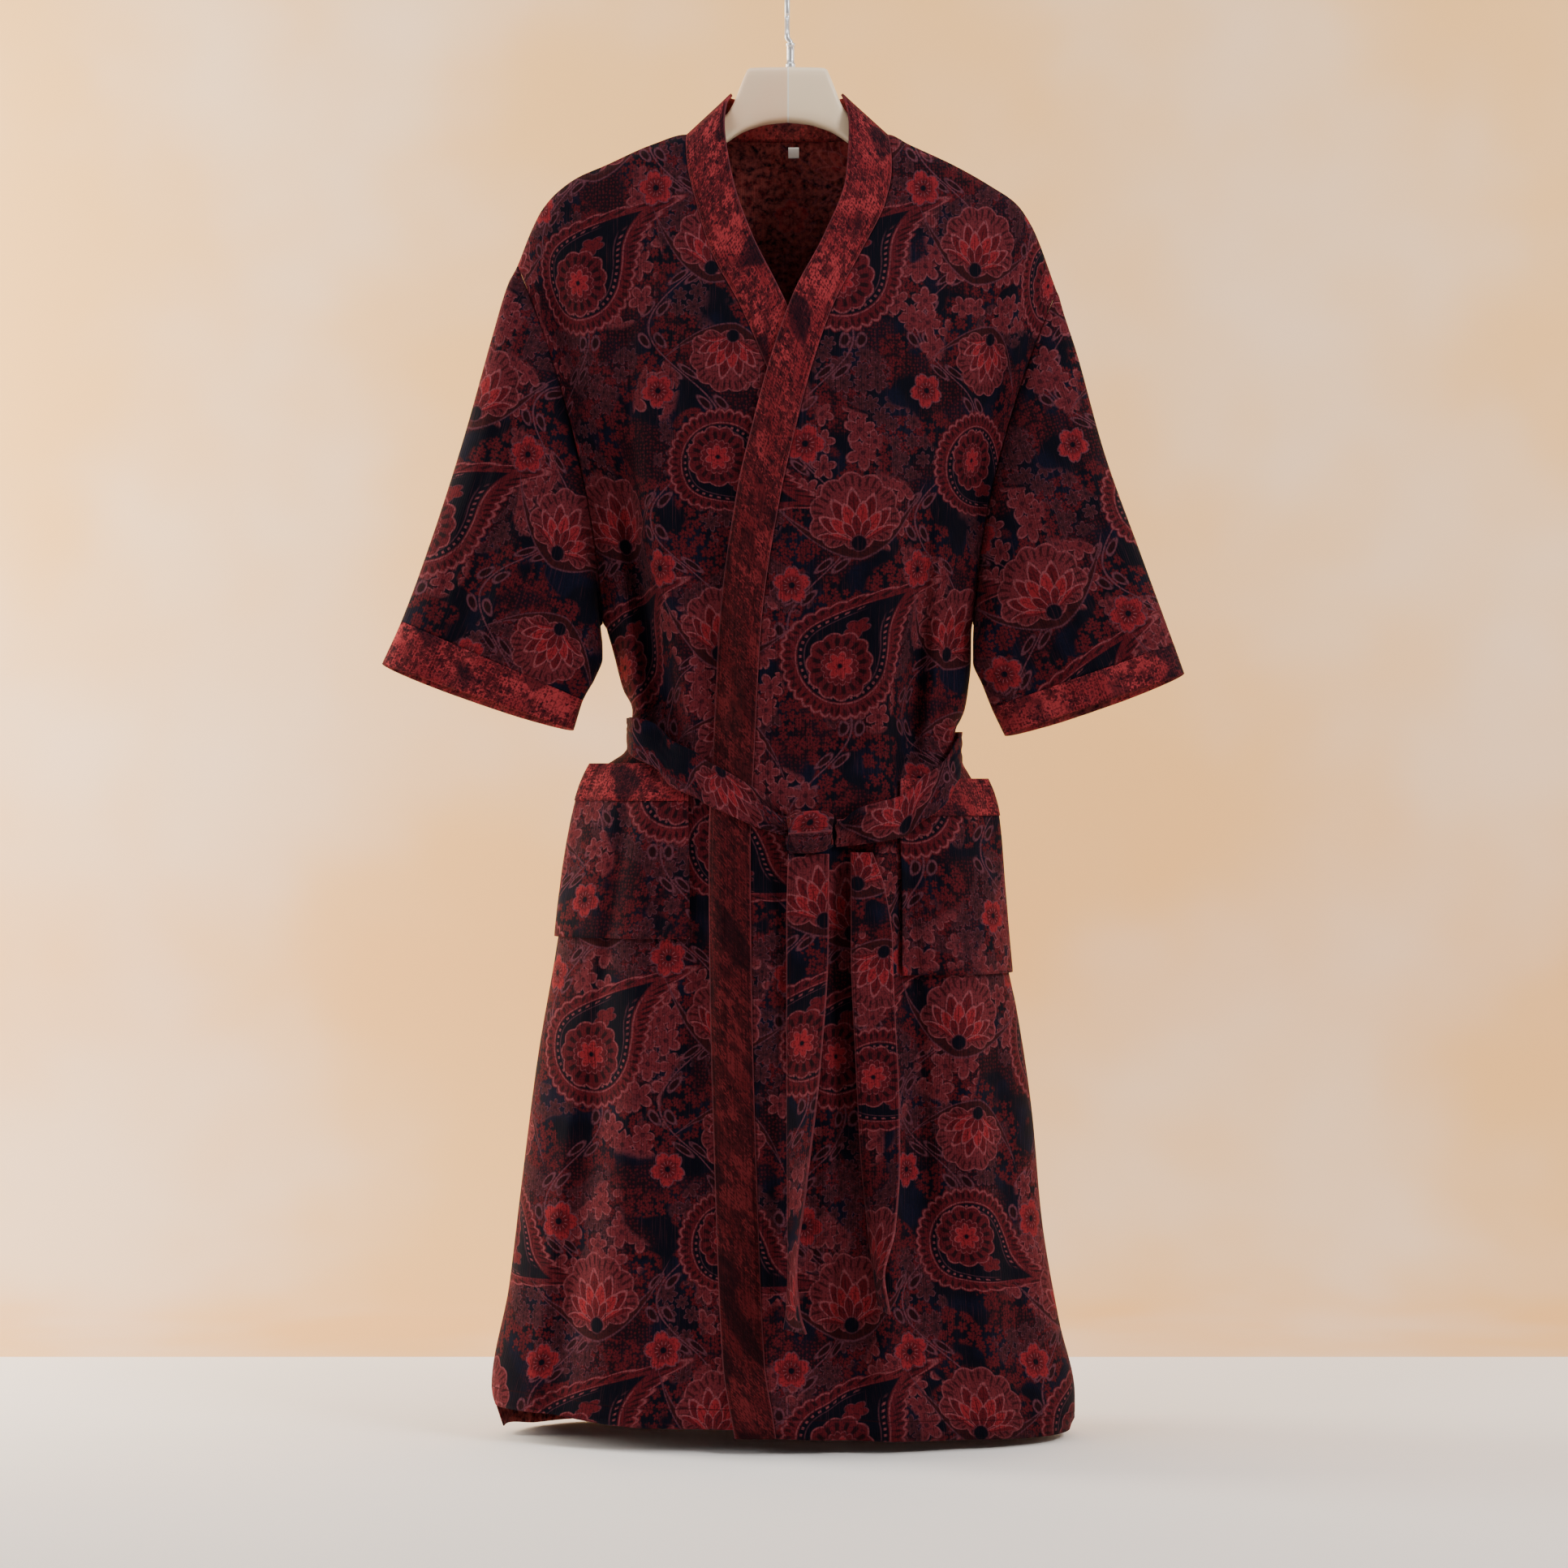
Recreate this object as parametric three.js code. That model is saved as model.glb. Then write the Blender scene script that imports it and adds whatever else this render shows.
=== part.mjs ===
// Kimono-style dressing robe on a wide hanger, in millimetres, +Z up.
// The front of the robe faces -Y and the wearer's left is +X.
// The origin is the underside of the hook's crook, where a rail carries it.
// Every cloth piece is a wall: an outer face from named sections, and an inner face one cloth inside it.

import * as THREE from 'three';

// Cloth walls and the gaps that keep sewn pieces apart.
const CLOTH = 2;
const BAND_CLOTH = 3;
const BELT_CLOTH = 2.5;
const SEAM_GAP = 0.4;
const BAND_PROUD = 0.5;
const RIGHT_ANGLE = Math.PI / 2;

// Levels of the robe below the hook.
const NECK_Z = -131;
const PIT_Z = -583;
const NECK_HALF = 93;
const NECK_BACK = 45;
const ARMHOLE_DEPTH = 22;
const ARMHOLE_BOW = 15;
const ARMHOLE_ROWS = 12;
const FRONT_COLUMNS = 16;
const BAND_COLUMNS = 2;
const LAP_LIFT = 4.2;
const UNDER_DROP = 8;
const POCKET_GAP = 2.5;
const CORNER_GAP = 0.9;
// The shoulder seam's slope counts from this share of the way out, past the level run at the neck.
const SLOPE_FROM = 0.42;
const TINY = 1e-6;

// Rows of the body below the armpit.
const SKIRT_ROWS = [
  -585, -591, -610, -630, -650, -666, -682, -694, -706, -722, -740,
  -764, -800, -850, -910, -980, -1050, -1120, -1190, -1250, -1295,
];

// The robe hangs unevenly, so each side of the wearer has its own tables.
const RIGHT = {
  sign: -1,
  notch: 249,
  pit: 170,
  shoulder: [
    { out: 0, z: -131 },
    { out: 93, z: -131 },
    { out: 124, z: -140 },
    { out: 169, z: -160 },
    { out: 193, z: -170.5 },
    { out: 212, z: -184 },
    { out: 226, z: -200 },
    { out: 235, z: -217 },
    { out: 249, z: -252 },
  ],
  side: [
    { z: -583, out: 170 },
    { z: -585, out: 167.8 },
    { z: -591, out: 166 },
    { z: -610, out: 160.5 },
    { z: -644, out: 151.5 },
    { z: -662, out: 143 },
    { z: -680, out: 144 },
    { z: -690, out: 146 },
    { z: -700, out: 154.5 },
    { z: -712, out: 167.5 },
    { z: -760, out: 186 },
    { z: -864, out: 210 },
    { z: -900, out: 216 },
    { z: -981, out: 230 },
    { z: -1105, out: 246 },
    { z: -1195, out: 257 },
    { z: -1287, out: 273 },
    { z: -1309, out: 267.5 },
    { z: -1325, out: 262 },
  ],
};
const LEFT = {
  sign: 1,
  notch: 249,
  pit: 171,
  shoulder: [
    { out: 0, z: -131 },
    { out: 93, z: -131 },
    { out: 112, z: -140 },
    { out: 155, z: -160 },
    { out: 190, z: -180 },
    { out: 211, z: -194.5 },
    { out: 226, z: -216 },
    { out: 249, z: -276 },
  ],
  side: [
    { z: -583, out: 171 },
    { z: -585, out: 170.4 },
    { z: -591, out: 170 },
    { z: -619, out: 169.6 },
    { z: -644, out: 167 },
    { z: -662, out: 164 },
    { z: -672, out: 160 },
    { z: -682, out: 155 },
    { z: -704, out: 159.5 },
    { z: -712, out: 162 },
    { z: -724, out: 169 },
    { z: -740, out: 177 },
    { z: -760, out: 183 },
    { z: -832, out: 193.5 },
    { z: -904, out: 204.5 },
    { z: -937, out: 211.5 },
    { z: -1034, out: 226 },
    { z: -1132, out: 235 },
    { z: -1226, out: 251 },
    { z: -1294, out: 265.5 },
    { z: -1316, out: 265.5 },
    { z: -1325, out: 261 },
  ],
};

// Depth of the body in front of and behind the line of its side seams.
const DEPTH = [
  { z: -131, front: 0.2, back: 45 },
  { z: -139, front: 11, back: 46 },
  { z: -161, front: 20, back: 48 },
  { z: -197, front: 31, back: 50 },
  { z: -244, front: 43, back: 52 },
  { z: -298, front: 58, back: 57 },
  { z: -357, front: 69, back: 64 },
  { z: -416, front: 76, back: 69 },
  { z: -470, front: 80, back: 72 },
  { z: -583, front: 80, back: 71 },
  { z: -640, front: 74, back: 65 },
  { z: -695, front: 70, back: 61 },
  { z: -760, front: 84, back: 72 },
  { z: -900, front: 92, back: 88 },
  { z: -1100, front: 100, back: 100 },
  { z: -1250, front: 106, back: 107 },
  { z: -1325, front: 104, back: 104 },
];

// How far the back has left the neck curve for the body's own section.
const NECK_RELEASE = [
  { z: -131, share: 0 },
  { z: -139, share: 0.3 },
  { z: -161, share: 0.75 },
  { z: -200, share: 1 },
  { z: -1325, share: 1 },
];

// Main folds, each from a top point to a low point. Depth is inwards, so a ridge is negative.
const FRONT_FOLDS = [
  { name: 'right shoulder fold', topX: -222, topZ: -200, lowX: -200, lowZ: -330, width: 13, depth: 9 },
  { name: 'right chest valley', topX: -165, topZ: -400, lowX: -108, lowZ: -680, width: 15, depth: 16 },
  { name: 'right chest ridge', topX: -130, topZ: -430, lowX: -84, lowZ: -680, width: 15, depth: -6 },
  { name: 'lap valley', topX: -74, topZ: -500, lowX: -76, lowZ: -715, width: 12, depth: 7 },
  { name: 'left chest valley', topX: 128, topZ: -560, lowX: 108, lowZ: -725, width: 17, depth: 15 },
  { name: 'left chest ridge', topX: 90, topZ: -420, lowX: 78, lowZ: -720, width: 22, depth: -5 },
  { name: 'left armhole shade', topX: 198, topZ: -290, lowX: 172, lowZ: -480, width: 15, depth: 10 },
  { name: 'skirt centre valley', topX: 52, topZ: -780, lowX: 58, lowZ: -1300, width: 20, depth: 15 },
  { name: 'skirt left valley', topX: 108, topZ: -780, lowX: 122, lowZ: -1150, width: 17, depth: 12 },
  { name: 'skirt left ridge', topX: 84, topZ: -800, lowX: 92, lowZ: -1290, width: 15, depth: -6 },
  { name: 'skirt edge valley', topX: -84, topZ: -780, lowX: -84, lowZ: -1290, width: 14, depth: 8 },
  { name: 'skirt right ridge', topX: -135, topZ: -900, lowX: -165, lowZ: -1290, width: 30, depth: -8 },
  { name: 'skirt right valley', topX: -165, topZ: -960, lowX: -215, lowZ: -1300, width: 20, depth: 9 },
  { name: 'skirt far ridge', topX: 160, topZ: -900, lowX: 180, lowZ: -1290, width: 26, depth: -7 },
];
const BACK_FOLDS = [
  { name: 'right yoke fold', topX: -150, topZ: -210, lowX: -168, lowZ: -560, width: 20, depth: 13 },
  { name: 'left yoke fold', topX: 158, topZ: -220, lowX: 150, lowZ: -600, width: 22, depth: 14 },
  { name: 'waist gather a', topX: -96, topZ: -470, lowX: -74, lowZ: -690, width: 17, depth: 12 },
  { name: 'waist gather b', topX: -8, topZ: -500, lowX: 4, lowZ: -690, width: 18, depth: 10 },
  { name: 'waist gather c', topX: 88, topZ: -480, lowX: 76, lowZ: -690, width: 17, depth: 13 },
  { name: 'skirt back valley a', topX: -92, topZ: -710, lowX: -142, lowZ: -1310, width: 24, depth: 16 },
  { name: 'skirt back valley b', topX: 10, topZ: -710, lowX: -22, lowZ: -1310, width: 24, depth: 15 },
  { name: 'skirt back valley c', topX: 98, topZ: -710, lowX: 118, lowZ: -1310, width: 22, depth: 17 },
  { name: 'skirt back ridge', topX: 52, topZ: -760, lowX: 52, lowZ: -1310, width: 24, depth: -8 },
];
const FOLD_FADE = 60;

// Collar band of the under front: its seam on the front and its free edge.
// Above the collar bone the edge stands clear of the chest, at its own y.
const RIGHT_BAND = [
  { seamZ: -131, seamX: -93, edgeX: -52, edgeZ: -94, edgeY: -0.2 },
  { seamZ: -139, seamX: -93.5, edgeX: -56, edgeZ: -101, edgeY: -9 },
  { seamZ: -161, seamX: -92, edgeX: -58, edgeZ: -122, edgeY: -20 },
  { seamZ: -197, seamX: -84, edgeX: -51, edgeZ: -172, edgeY: -35 },
  { seamZ: -244, seamX: -70, edgeX: -34, edgeZ: -225, edgeY: -47 },
  { seamZ: -298, seamX: -42, edgeX: -6, edgeZ: -283, edgeY: -58 },
  { seamZ: -357, seamX: -17, edgeX: 20, edgeZ: -341, edgeY: -67 },
  { seamZ: -416, seamX: 9, edgeX: 47, edgeZ: -403, edgeY: -73 },
  { seamZ: -470, seamX: 26, edgeX: 65, edgeZ: -463, edgeY: null },
  { seamZ: -583, seamX: 43, edgeX: 82, edgeZ: -580, edgeY: null },
  { seamZ: -700, seamX: 47, edgeX: 85, edgeZ: -700, edgeY: null },
  { seamZ: -1309, seamX: 47, edgeX: 85, edgeZ: -1309, edgeY: null },
];
// Collar band of the over front, whose free edge is the robe's front edge.
const LEFT_BAND = [
  { seamZ: -131, seamX: 93, edgeX: 51, edgeZ: -93, edgeY: -0.2 },
  { seamZ: -139, seamX: 94.5, edgeX: 54, edgeZ: -101, edgeY: -9 },
  { seamZ: -161, seamX: 96, edgeX: 57, edgeZ: -125, edgeY: -21 },
  { seamZ: -197, seamX: 90, edgeX: 54, edgeZ: -174, edgeY: -37 },
  { seamZ: -244, seamX: 68, edgeX: 34, edgeZ: -229, edgeY: -50 },
  { seamZ: -298, seamX: 41, edgeX: 6, edgeZ: -284, edgeY: -63 },
  { seamZ: -357, seamX: 21, edgeX: -16, edgeZ: -347, edgeY: -72.5 },
  { seamZ: -416, seamX: 6, edgeX: -32, edgeZ: -407, edgeY: -79.5 },
  { seamZ: -470, seamX: -6, edgeX: -45, edgeZ: -463, edgeY: null },
  { seamZ: -583, seamX: -23, edgeX: -61, edgeZ: -580, edgeY: null },
  { seamZ: -712, seamX: -30, edgeX: -68, edgeZ: -711, edgeY: null },
  { seamZ: -785, seamX: -33, edgeX: -71, edgeZ: -785, edgeY: null },
  { seamZ: -902, seamX: -32, edgeX: -70, edgeZ: -902, edgeY: null },
  { seamZ: -1121, seamX: -26, edgeX: -64, edgeZ: -1121, edgeY: null },
  { seamZ: -1250, seamX: -20, edgeX: -58, edgeZ: -1250, edgeY: null },
  { seamZ: -1316, seamX: -9, edgeX: -47, edgeZ: -1318, edgeY: null },
];
const BACK_BAND_RISE = 38;
const BACK_BAND_LEAN = 3;

// Sleeves: rings from the armhole to the cuff. Outer and inner are the ends of each ring.
const RIGHT_SLEEVE = [
  { along: 0, outerX: 250.1, outerZ: -253.3, innerX: 171, innerZ: -583.3, depth: 22, forward: 0, bow: 15 },
  { along: 0.02, outerX: 251.5, outerZ: -257, innerX: 172.8, innerZ: -586, depth: 24, forward: 0, bow: 15 },
  { along: 0.07, outerX: 257, outerZ: -268, innerX: 172, innerZ: -592, depth: 27, forward: 3, bow: 14 },
  { along: 0.24, outerX: 271.5, outerZ: -318, innerX: 170.2, innerZ: -602, depth: 35, forward: 10, bow: 9 },
  { along: 0.5, outerX: 295, outerZ: -404, innerX: 169.8, innerZ: -615, depth: 39, forward: 14, bow: 3 },
  { along: 0.78, outerX: 327, outerZ: -505, innerX: 176.8, innerZ: -634, depth: 36, forward: 14, bow: 0 },
  { along: 1, outerX: 355.5, outerZ: -582, innerX: 188, innerZ: -654, depth: 32, forward: 12, bow: 0 },
  { along: 1.1, outerX: 373, outerZ: -620.5, innerX: 196.5, innerZ: -681, depth: 33, forward: 12, bow: 0 },
];
const LEFT_SLEEVE = [
  { along: 0, outerX: 249.8, outerZ: -277, innerX: 172, innerZ: -583.3, depth: 22, forward: 0, bow: 15 },
  { along: 0.02, outerX: 251.3, outerZ: -281, innerX: 172.6, innerZ: -586, depth: 24, forward: 0, bow: 15 },
  { along: 0.07, outerX: 253.6, outerZ: -291, innerX: 171.6, innerZ: -592, depth: 27, forward: 3, bow: 14 },
  { along: 0.24, outerX: 267.5, outerZ: -337, innerX: 171, innerZ: -606, depth: 35, forward: 10, bow: 9 },
  { along: 0.5, outerX: 291, outerZ: -424, innerX: 170.8, innerZ: -619, depth: 40, forward: 14, bow: 3 },
  { along: 0.78, outerX: 325, outerZ: -519, innerX: 179.5, innerZ: -640, depth: 37, forward: 14, bow: 0 },
  { along: 1, outerX: 356, outerZ: -603, innerX: 188, innerZ: -661, depth: 33, forward: 12, bow: 0 },
  { along: 1.1, outerX: 365.5, outerZ: -629.5, innerX: 200, innerZ: -686, depth: 34, forward: 12, bow: 0 },
];
const SLEEVE_ROWS = [0, 0.02, 0.07, 0.14, 0.24, 0.36, 0.5, 0.64, 0.78, 0.9, 1];
const CUFF_ROWS = [1, 1.05, 1.1];
// Across is 0 at the outer edge of the sleeve and 1 at its inner edge.
const SLEEVE_FOLDS = [
  { name: 'front inner fold', face: -1, across: 0.74, width: 0.09, depth: 6, from: 0.1, to: 0.95 },
  { name: 'front outer fold', face: -1, across: 0.3, width: 0.1, depth: 4, from: 0.25, to: 1 },
  { name: 'back inner fold', face: 1, across: 0.66, width: 0.1, depth: 7, from: 0.15, to: 1 },
  { name: 'back outer fold', face: 1, across: 0.32, width: 0.09, depth: 4, from: 0.3, to: 0.95 },
];

// Patch pockets: across is 0 at the inner edge and 1 at the side seam.
const RIGHT_POCKET = {
  side: RIGHT, inner: 89, top: -712, trimSeam: -746, bottom: -871, gape: 11, press: 3.4,
};
const LEFT_POCKET = {
  side: LEFT, inner: 98, top: -726, trimSeam: -760, bottom: -904, gape: 9, press: 3,
};
const POCKET_COLUMNS = 9;
const BAG_ROWS = [0, 0.06, 0.2, 0.4, 0.6, 0.8, 1];
const POCKET_GAPE = [
  { across: 0, press: 0, gape: 0 },
  { across: 0.15, press: 0.7, gape: 0 },
  { across: 0.5, press: 1, gape: 0 },
  { across: 0.72, press: 1, gape: 0.22 },
  { across: 0.88, press: 0.9, gape: 1 },
  { across: 0.96, press: 0.6, gape: 0.8 },
  { across: 1, press: 0, gape: 0 },
];

// Belt: the height of its middle, its half width and how far its outer face stands off the body.
const BELT_RIGHT = [
  { out: 0, z: -765, half: 12, off: 9 },
  { out: 22, z: -752, half: 17, off: 9 },
  { out: 59, z: -729, half: 20, off: 9.5 },
  { out: 94, z: -709, half: 21, off: 12 },
  { out: 130, z: -689, half: 18.5, off: 12.5 },
  { out: 160, z: -685, half: 18, off: 4.4 },
];
const BELT_LEFT = [
  { out: 41, z: -775, half: 12, off: 10 },
  { out: 60, z: -768, half: 17, off: 11 },
  { out: 84, z: -760, half: 19, off: 13.5 },
  { out: 104, z: -747, half: 20, off: 16 },
  { out: 124, z: -731, half: 20, off: 16 },
  { out: 148, z: -711, half: 19, off: 14 },
  { out: 160, z: -700.5, half: 16.5, off: 12 },
  { out: 170, z: -697, half: 17, off: 4.4 },
];
const BELT_BACK = [
  { x: -160, z: -685, off: 4.4 },
  { x: -90, z: -689, off: 6.4 },
  { x: 0, z: -691, off: 6.4 },
  { x: 90, z: -693, off: 6.4 },
  { x: 170, z: -697, off: 4.4 },
];
const BELT_BACK_HALF = 18;
const KNOT = { x: 20.5, z: -774, halfWidth: 19.6, halfDepth: 11, halfHeight: 19, off: 18 };

// Belt tails: each row gives the tail's left edge and how wide it looks before it turns away.
const TAIL_WIDTH = 38;
const TAIL_A = [
  { z: -793.6, leftX: 0.5, seen: 37, off: 18 },
  { z: -860, leftX: -1, seen: 38, off: 12 },
  { z: -980, leftX: -1, seen: 30, off: 11 },
  { z: -1090, leftX: -0.5, seen: 16, off: 10 },
  { z: -1165, leftX: 0, seen: 7, off: 9 },
  { z: -1200, leftX: -1.5, seen: 12, off: 9 },
  { z: -1218, leftX: -4, seen: 20, off: 9 },
];
const TAIL_B = [
  { z: -792.5, leftX: 57, seen: 20, off: 10 },
  { z: -825, leftX: 57, seen: 31, off: 10 },
  { z: -880, leftX: 57, seen: 38, off: 10 },
  { z: -980, leftX: 61, seen: 38, off: 10 },
  { z: -1060, leftX: 65, seen: 35, off: 10 },
  { z: -1125, leftX: 71, seen: 24, off: 9 },
  { z: -1172, leftX: 77, seen: 8, off: 8 },
  { z: -1200, leftX: 81, seen: 9, off: 8 },
];
const TAIL_ROWS = 14;

// Hanger: height, underside and half thickness along each arm.
const HANGER = [
  { out: 0, top: -70, under: -119, half: 15 },
  { out: 18, top: -70, under: -121, half: 13.4 },
  { out: 35, top: -70.5, under: -126, half: 11.8 },
  { out: 42, top: -84, under: -129, half: 11.2 },
  { out: 50, top: -104, under: -134, half: 9.6 },
  { out: 57, top: -114, under: -139, half: 8 },
  { out: 78, top: -127, under: -150, half: 6 },
  { out: 100, top: -141, under: -163, half: 5 },
  { out: 145, top: -162, under: -186, half: 5 },
  { out: 190, top: -186.5, under: -206, half: 4.4 },
  { out: 206, top: -200, under: -212, half: 3.4 },
  { out: 211, top: -205.5, under: -211.5, half: 2.6 },
];
const HANGER_CHAMFER = 1.8;
const HOOK_WIRE_R = 2.5;
const HOOK_INNER_R = 18;
const HOOK_SHANK_X = 3;
const HOOK_FOOT_Z = -46.7;
const HOOK_SHANK_SHARE = 0.34;
const HOOK_SWEEP = Math.PI * 1.12;
const HOOK_STEPS = 34;
const FERRULE = [
  { r: 4.6, z: -69.7 },
  { r: 4.6, z: -66 },
  { r: 3.6, z: -65 },
  { r: 3.6, z: -50 },
  { r: 4.2, z: -49.4 },
  { r: 4.2, z: -47 },
];
const TAG = { fromX: 1, toX: 11, top: -136, bottom: -146, cloth: 1 };

const mix = (a, b, t) => a + (b - a) * t;
const clamp01 = (t) => Math.min(1, Math.max(0, t));
const smooth = (from, to, value) => {
  const t = clamp01((value - from) / (to - from));
  return t * t * (3 - 2 * t);
};

// A smooth reading of one column of a table: cubic between rows, with no overshoot.
function reader(table, key, column) {
  const rising = table[table.length - 1][key] > table[0][key];
  const rows = rising ? table : [...table].reverse();
  const keys = rows.map((row) => row[key]);
  const values = rows.map((row) => row[column]);
  const last = keys.length - 1;
  const steps = keys.slice(1).map((k, i) => (values[i + 1] - values[i]) / (k - keys[i]));
  const slopes = keys.map((_, i) => {
    if (i === 0) return steps[0];
    if (i === last) return steps[last - 1];
    if (steps[i - 1] * steps[i] <= 0) return 0;
    return (2 * steps[i - 1] * steps[i]) / (steps[i - 1] + steps[i]);
  });
  return (value) => {
    if (value <= keys[0]) return values[0];
    if (value >= keys[last]) return values[last];
    let i = 0;
    while (value > keys[i + 1]) i += 1;
    const span = keys[i + 1] - keys[i];
    const t = (value - keys[i]) / span;
    const t2 = t * t;
    const t3 = t2 * t;
    const level = (2 * t3 - 3 * t2 + 1) * values[i] + (3 * t2 - 2 * t3) * values[i + 1];
    const bend = (t3 - 2 * t2 + t) * slopes[i] + (t3 - t2) * slopes[i + 1];
    return level + bend * span;
  };
}

for (const side of [RIGHT, LEFT]) {
  side.shoulderZ = reader(side.shoulder, 'out', 'z');
  side.sideOut = reader(side.side, 'z', 'out');
}
const frontDepth = reader(DEPTH, 'z', 'front');
const backDepth = reader(DEPTH, 'z', 'back');
const neckRelease = reader(NECK_RELEASE, 'z', 'share');

// Share of the way down the armhole, 0 at the shoulder notch and 1 at the armpit.
const armShare = (level) => clamp01((NECK_Z - level) / (NECK_Z - PIT_Z));
const armBow = (share) => 4 * share * (1 - share);
const armEdgeDepth = (share) => ARMHOLE_DEPTH * 2 * Math.sqrt(share * (1 - share));

function halfWidth(side, level) {
  const share = armShare(level);
  if (share === 1) return side.sideOut(level);
  return mix(side.notch, side.pit, share) - ARMHOLE_BOW * armBow(share);
}

// Rows follow the shoulder's slope at the top and are level from the armpit down.
function heightAt(side, across, level) {
  const droop = side.shoulderZ(across * side.notch) - NECK_Z;
  return level + droop * (1 - armShare(level));
}

function foldAt(folds, x, z) {
  let total = 0;
  for (const fold of folds) {
    const along = (fold.topZ - z) / (fold.topZ - fold.lowZ);
    const line = mix(fold.topX, fold.lowX, clamp01(along));
    const length = fold.topZ - fold.lowZ;
    const ends = smooth(-FOLD_FADE / length, FOLD_FADE / length, along);
    const tail = 1 - smooth(1 - FOLD_FADE / length, 1 + FOLD_FADE / length, along);
    const offset = (x - line) / fold.width;
    total += fold.depth * ends * tail * Math.exp(-offset * offset);
  }
  return total;
}

// A point of the body's outer face. Turn is the angle from the centre line, a right angle at the side seam.
// Face is -1 in front and 1 behind; lift moves the cloth out, over a layer beneath.
function bodyPoint(face, turn, level, lift = 0) {
  const side = turn < 0 ? RIGHT : LEFT;
  const across = Math.sin(Math.abs(turn));
  const out = halfWidth(side, level) * across;
  const x = side.sign * out;
  const edge = armEdgeDepth(armShare(level));
  const fullness = Math.pow(Math.max(Math.cos(turn), 0), 0.9);
  const reach = face < 0 ? frontDepth(level) : backDepth(level);
  let depth = edge + Math.max(reach - edge, 0) * fullness;
  if (face > 0) {
    const neck = NECK_BACK * Math.sqrt(Math.max(1 - (out / NECK_HALF) ** 2, 0));
    depth = mix(neck, depth, neckRelease(level));
  }
  const folds = face < 0 ? FRONT_FOLDS : BACK_FOLDS;
  const slack = clamp01(Math.cos(turn) * 3) * smooth(-150, -230, level);
  depth -= foldAt(folds, x, level) * slack;
  const y = face * (Math.max(depth, SEAM_GAP / 2) + lift);
  return new THREE.Vector3(x, y, heightAt(side, across, level));
}

function bodyNormal(face, turn, level) {
  const reach = 0.02;
  const drop = 0.5;
  const turnA = Math.max(turn - reach, -RIGHT_ANGLE);
  const turnB = Math.min(turn + reach, RIGHT_ANGLE);
  const across = bodyPoint(face, turnB, level).sub(bodyPoint(face, turnA, level));
  const down = bodyPoint(face, turn, level - drop).sub(bodyPoint(face, turn, level + drop));
  return across.cross(down).multiplyScalar(face).normalize();
}

function turnAt(x, level) {
  const side = x < 0 ? RIGHT : LEFT;
  return side.sign * Math.asin(clamp01(Math.abs(x) / halfWidth(side, level)));
}

// The over front rises over the under front and its band, and comes back down past them.
function lapLift(x, level) {
  return LAP_LIFT * (1 - smooth(95, 160, x)) * smooth(-215, -300, level);
}

// The hidden end of the under front hangs a little behind the over front.
function underLift(x, level) {
  return -UNDER_DROP * smooth(-10, 35, x) * smooth(-400, -470, level);
}

const armLevels = Array.from({ length: ARMHOLE_ROWS + 1 }, (_, k) => {
  return mix(NECK_Z, PIT_Z, (1 - Math.cos((Math.PI * k) / ARMHOLE_ROWS)) / 2);
});
const HEM_RIGHT = -1310;
const HEM_BACK = -1324;
const hemLeft = (x) => mix(-1316, -1325, clamp01((x + 50) / 300));
const bodyLevels = [...armLevels, ...SKIRT_ROWS];

// Builds a closed wall from its outer face. Rows run down it and columns across it.
// Normal may fix the direction of the thickness at an edge, so that sewn edges lie side by side.
function wall({ rows, columns, point, thickness, normal, wrap = false, facing }) {
  const outer = [];
  for (let i = 0; i <= rows; i += 1) {
    const row = [];
    for (let j = 0; j < (wrap ? columns : columns + 1); j += 1) row.push(point(i, j));
    outer.push(row);
  }
  const width = outer[0].length;
  const pick = (i, j) => outer[Math.min(Math.max(i, 0), rows)][
    wrap ? (j + width) % width : Math.min(Math.max(j, 0), width - 1)
  ];
  const inner = outer.map((row, i) => row.map((here, j) => {
    const fixed = normal ? normal(i, j, here) : null;
    const across = pick(i, j + 1).clone().sub(pick(i, j - 1));
    const down = pick(i + 1, j).clone().sub(pick(i - 1, j));
    const n = fixed ?? across.cross(down).normalize().multiplyScalar(facing);
    return here.clone().addScaledVector(n, -thickness);
  }));
  const vertices = [...outer.flat(), ...inner.flat()];
  const count = (rows + 1) * width;
  const id = (i, j) => i * width + (wrap ? j % width : j);
  const faces = [];
  const quad = (a, b, c, d) => faces.push(a, b, c, a, c, d);
  for (let i = 0; i < rows; i += 1) {
    for (let j = 0; j < columns; j += 1) {
      const ring = [id(i, j), id(i, j + 1), id(i + 1, j + 1), id(i + 1, j)];
      quad(ring[0], ring[1], ring[2], ring[3]);
      quad(count + ring[3], count + ring[2], count + ring[1], count + ring[0]);
    }
  }
  for (let j = 0; j < columns; j += 1) {
    quad(count + id(0, j), count + id(0, j + 1), id(0, j + 1), id(0, j));
    quad(id(rows, j), id(rows, j + 1), count + id(rows, j + 1), count + id(rows, j));
  }
  for (let i = 0; i < rows && !wrap; i += 1) {
    quad(id(i, 0), id(i + 1, 0), count + id(i + 1, 0), count + id(i, 0));
    const j = columns;
    quad(count + id(i, j), count + id(i + 1, j), id(i + 1, j), id(i, j));
  }
  return solid(vertices, faces);
}

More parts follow.
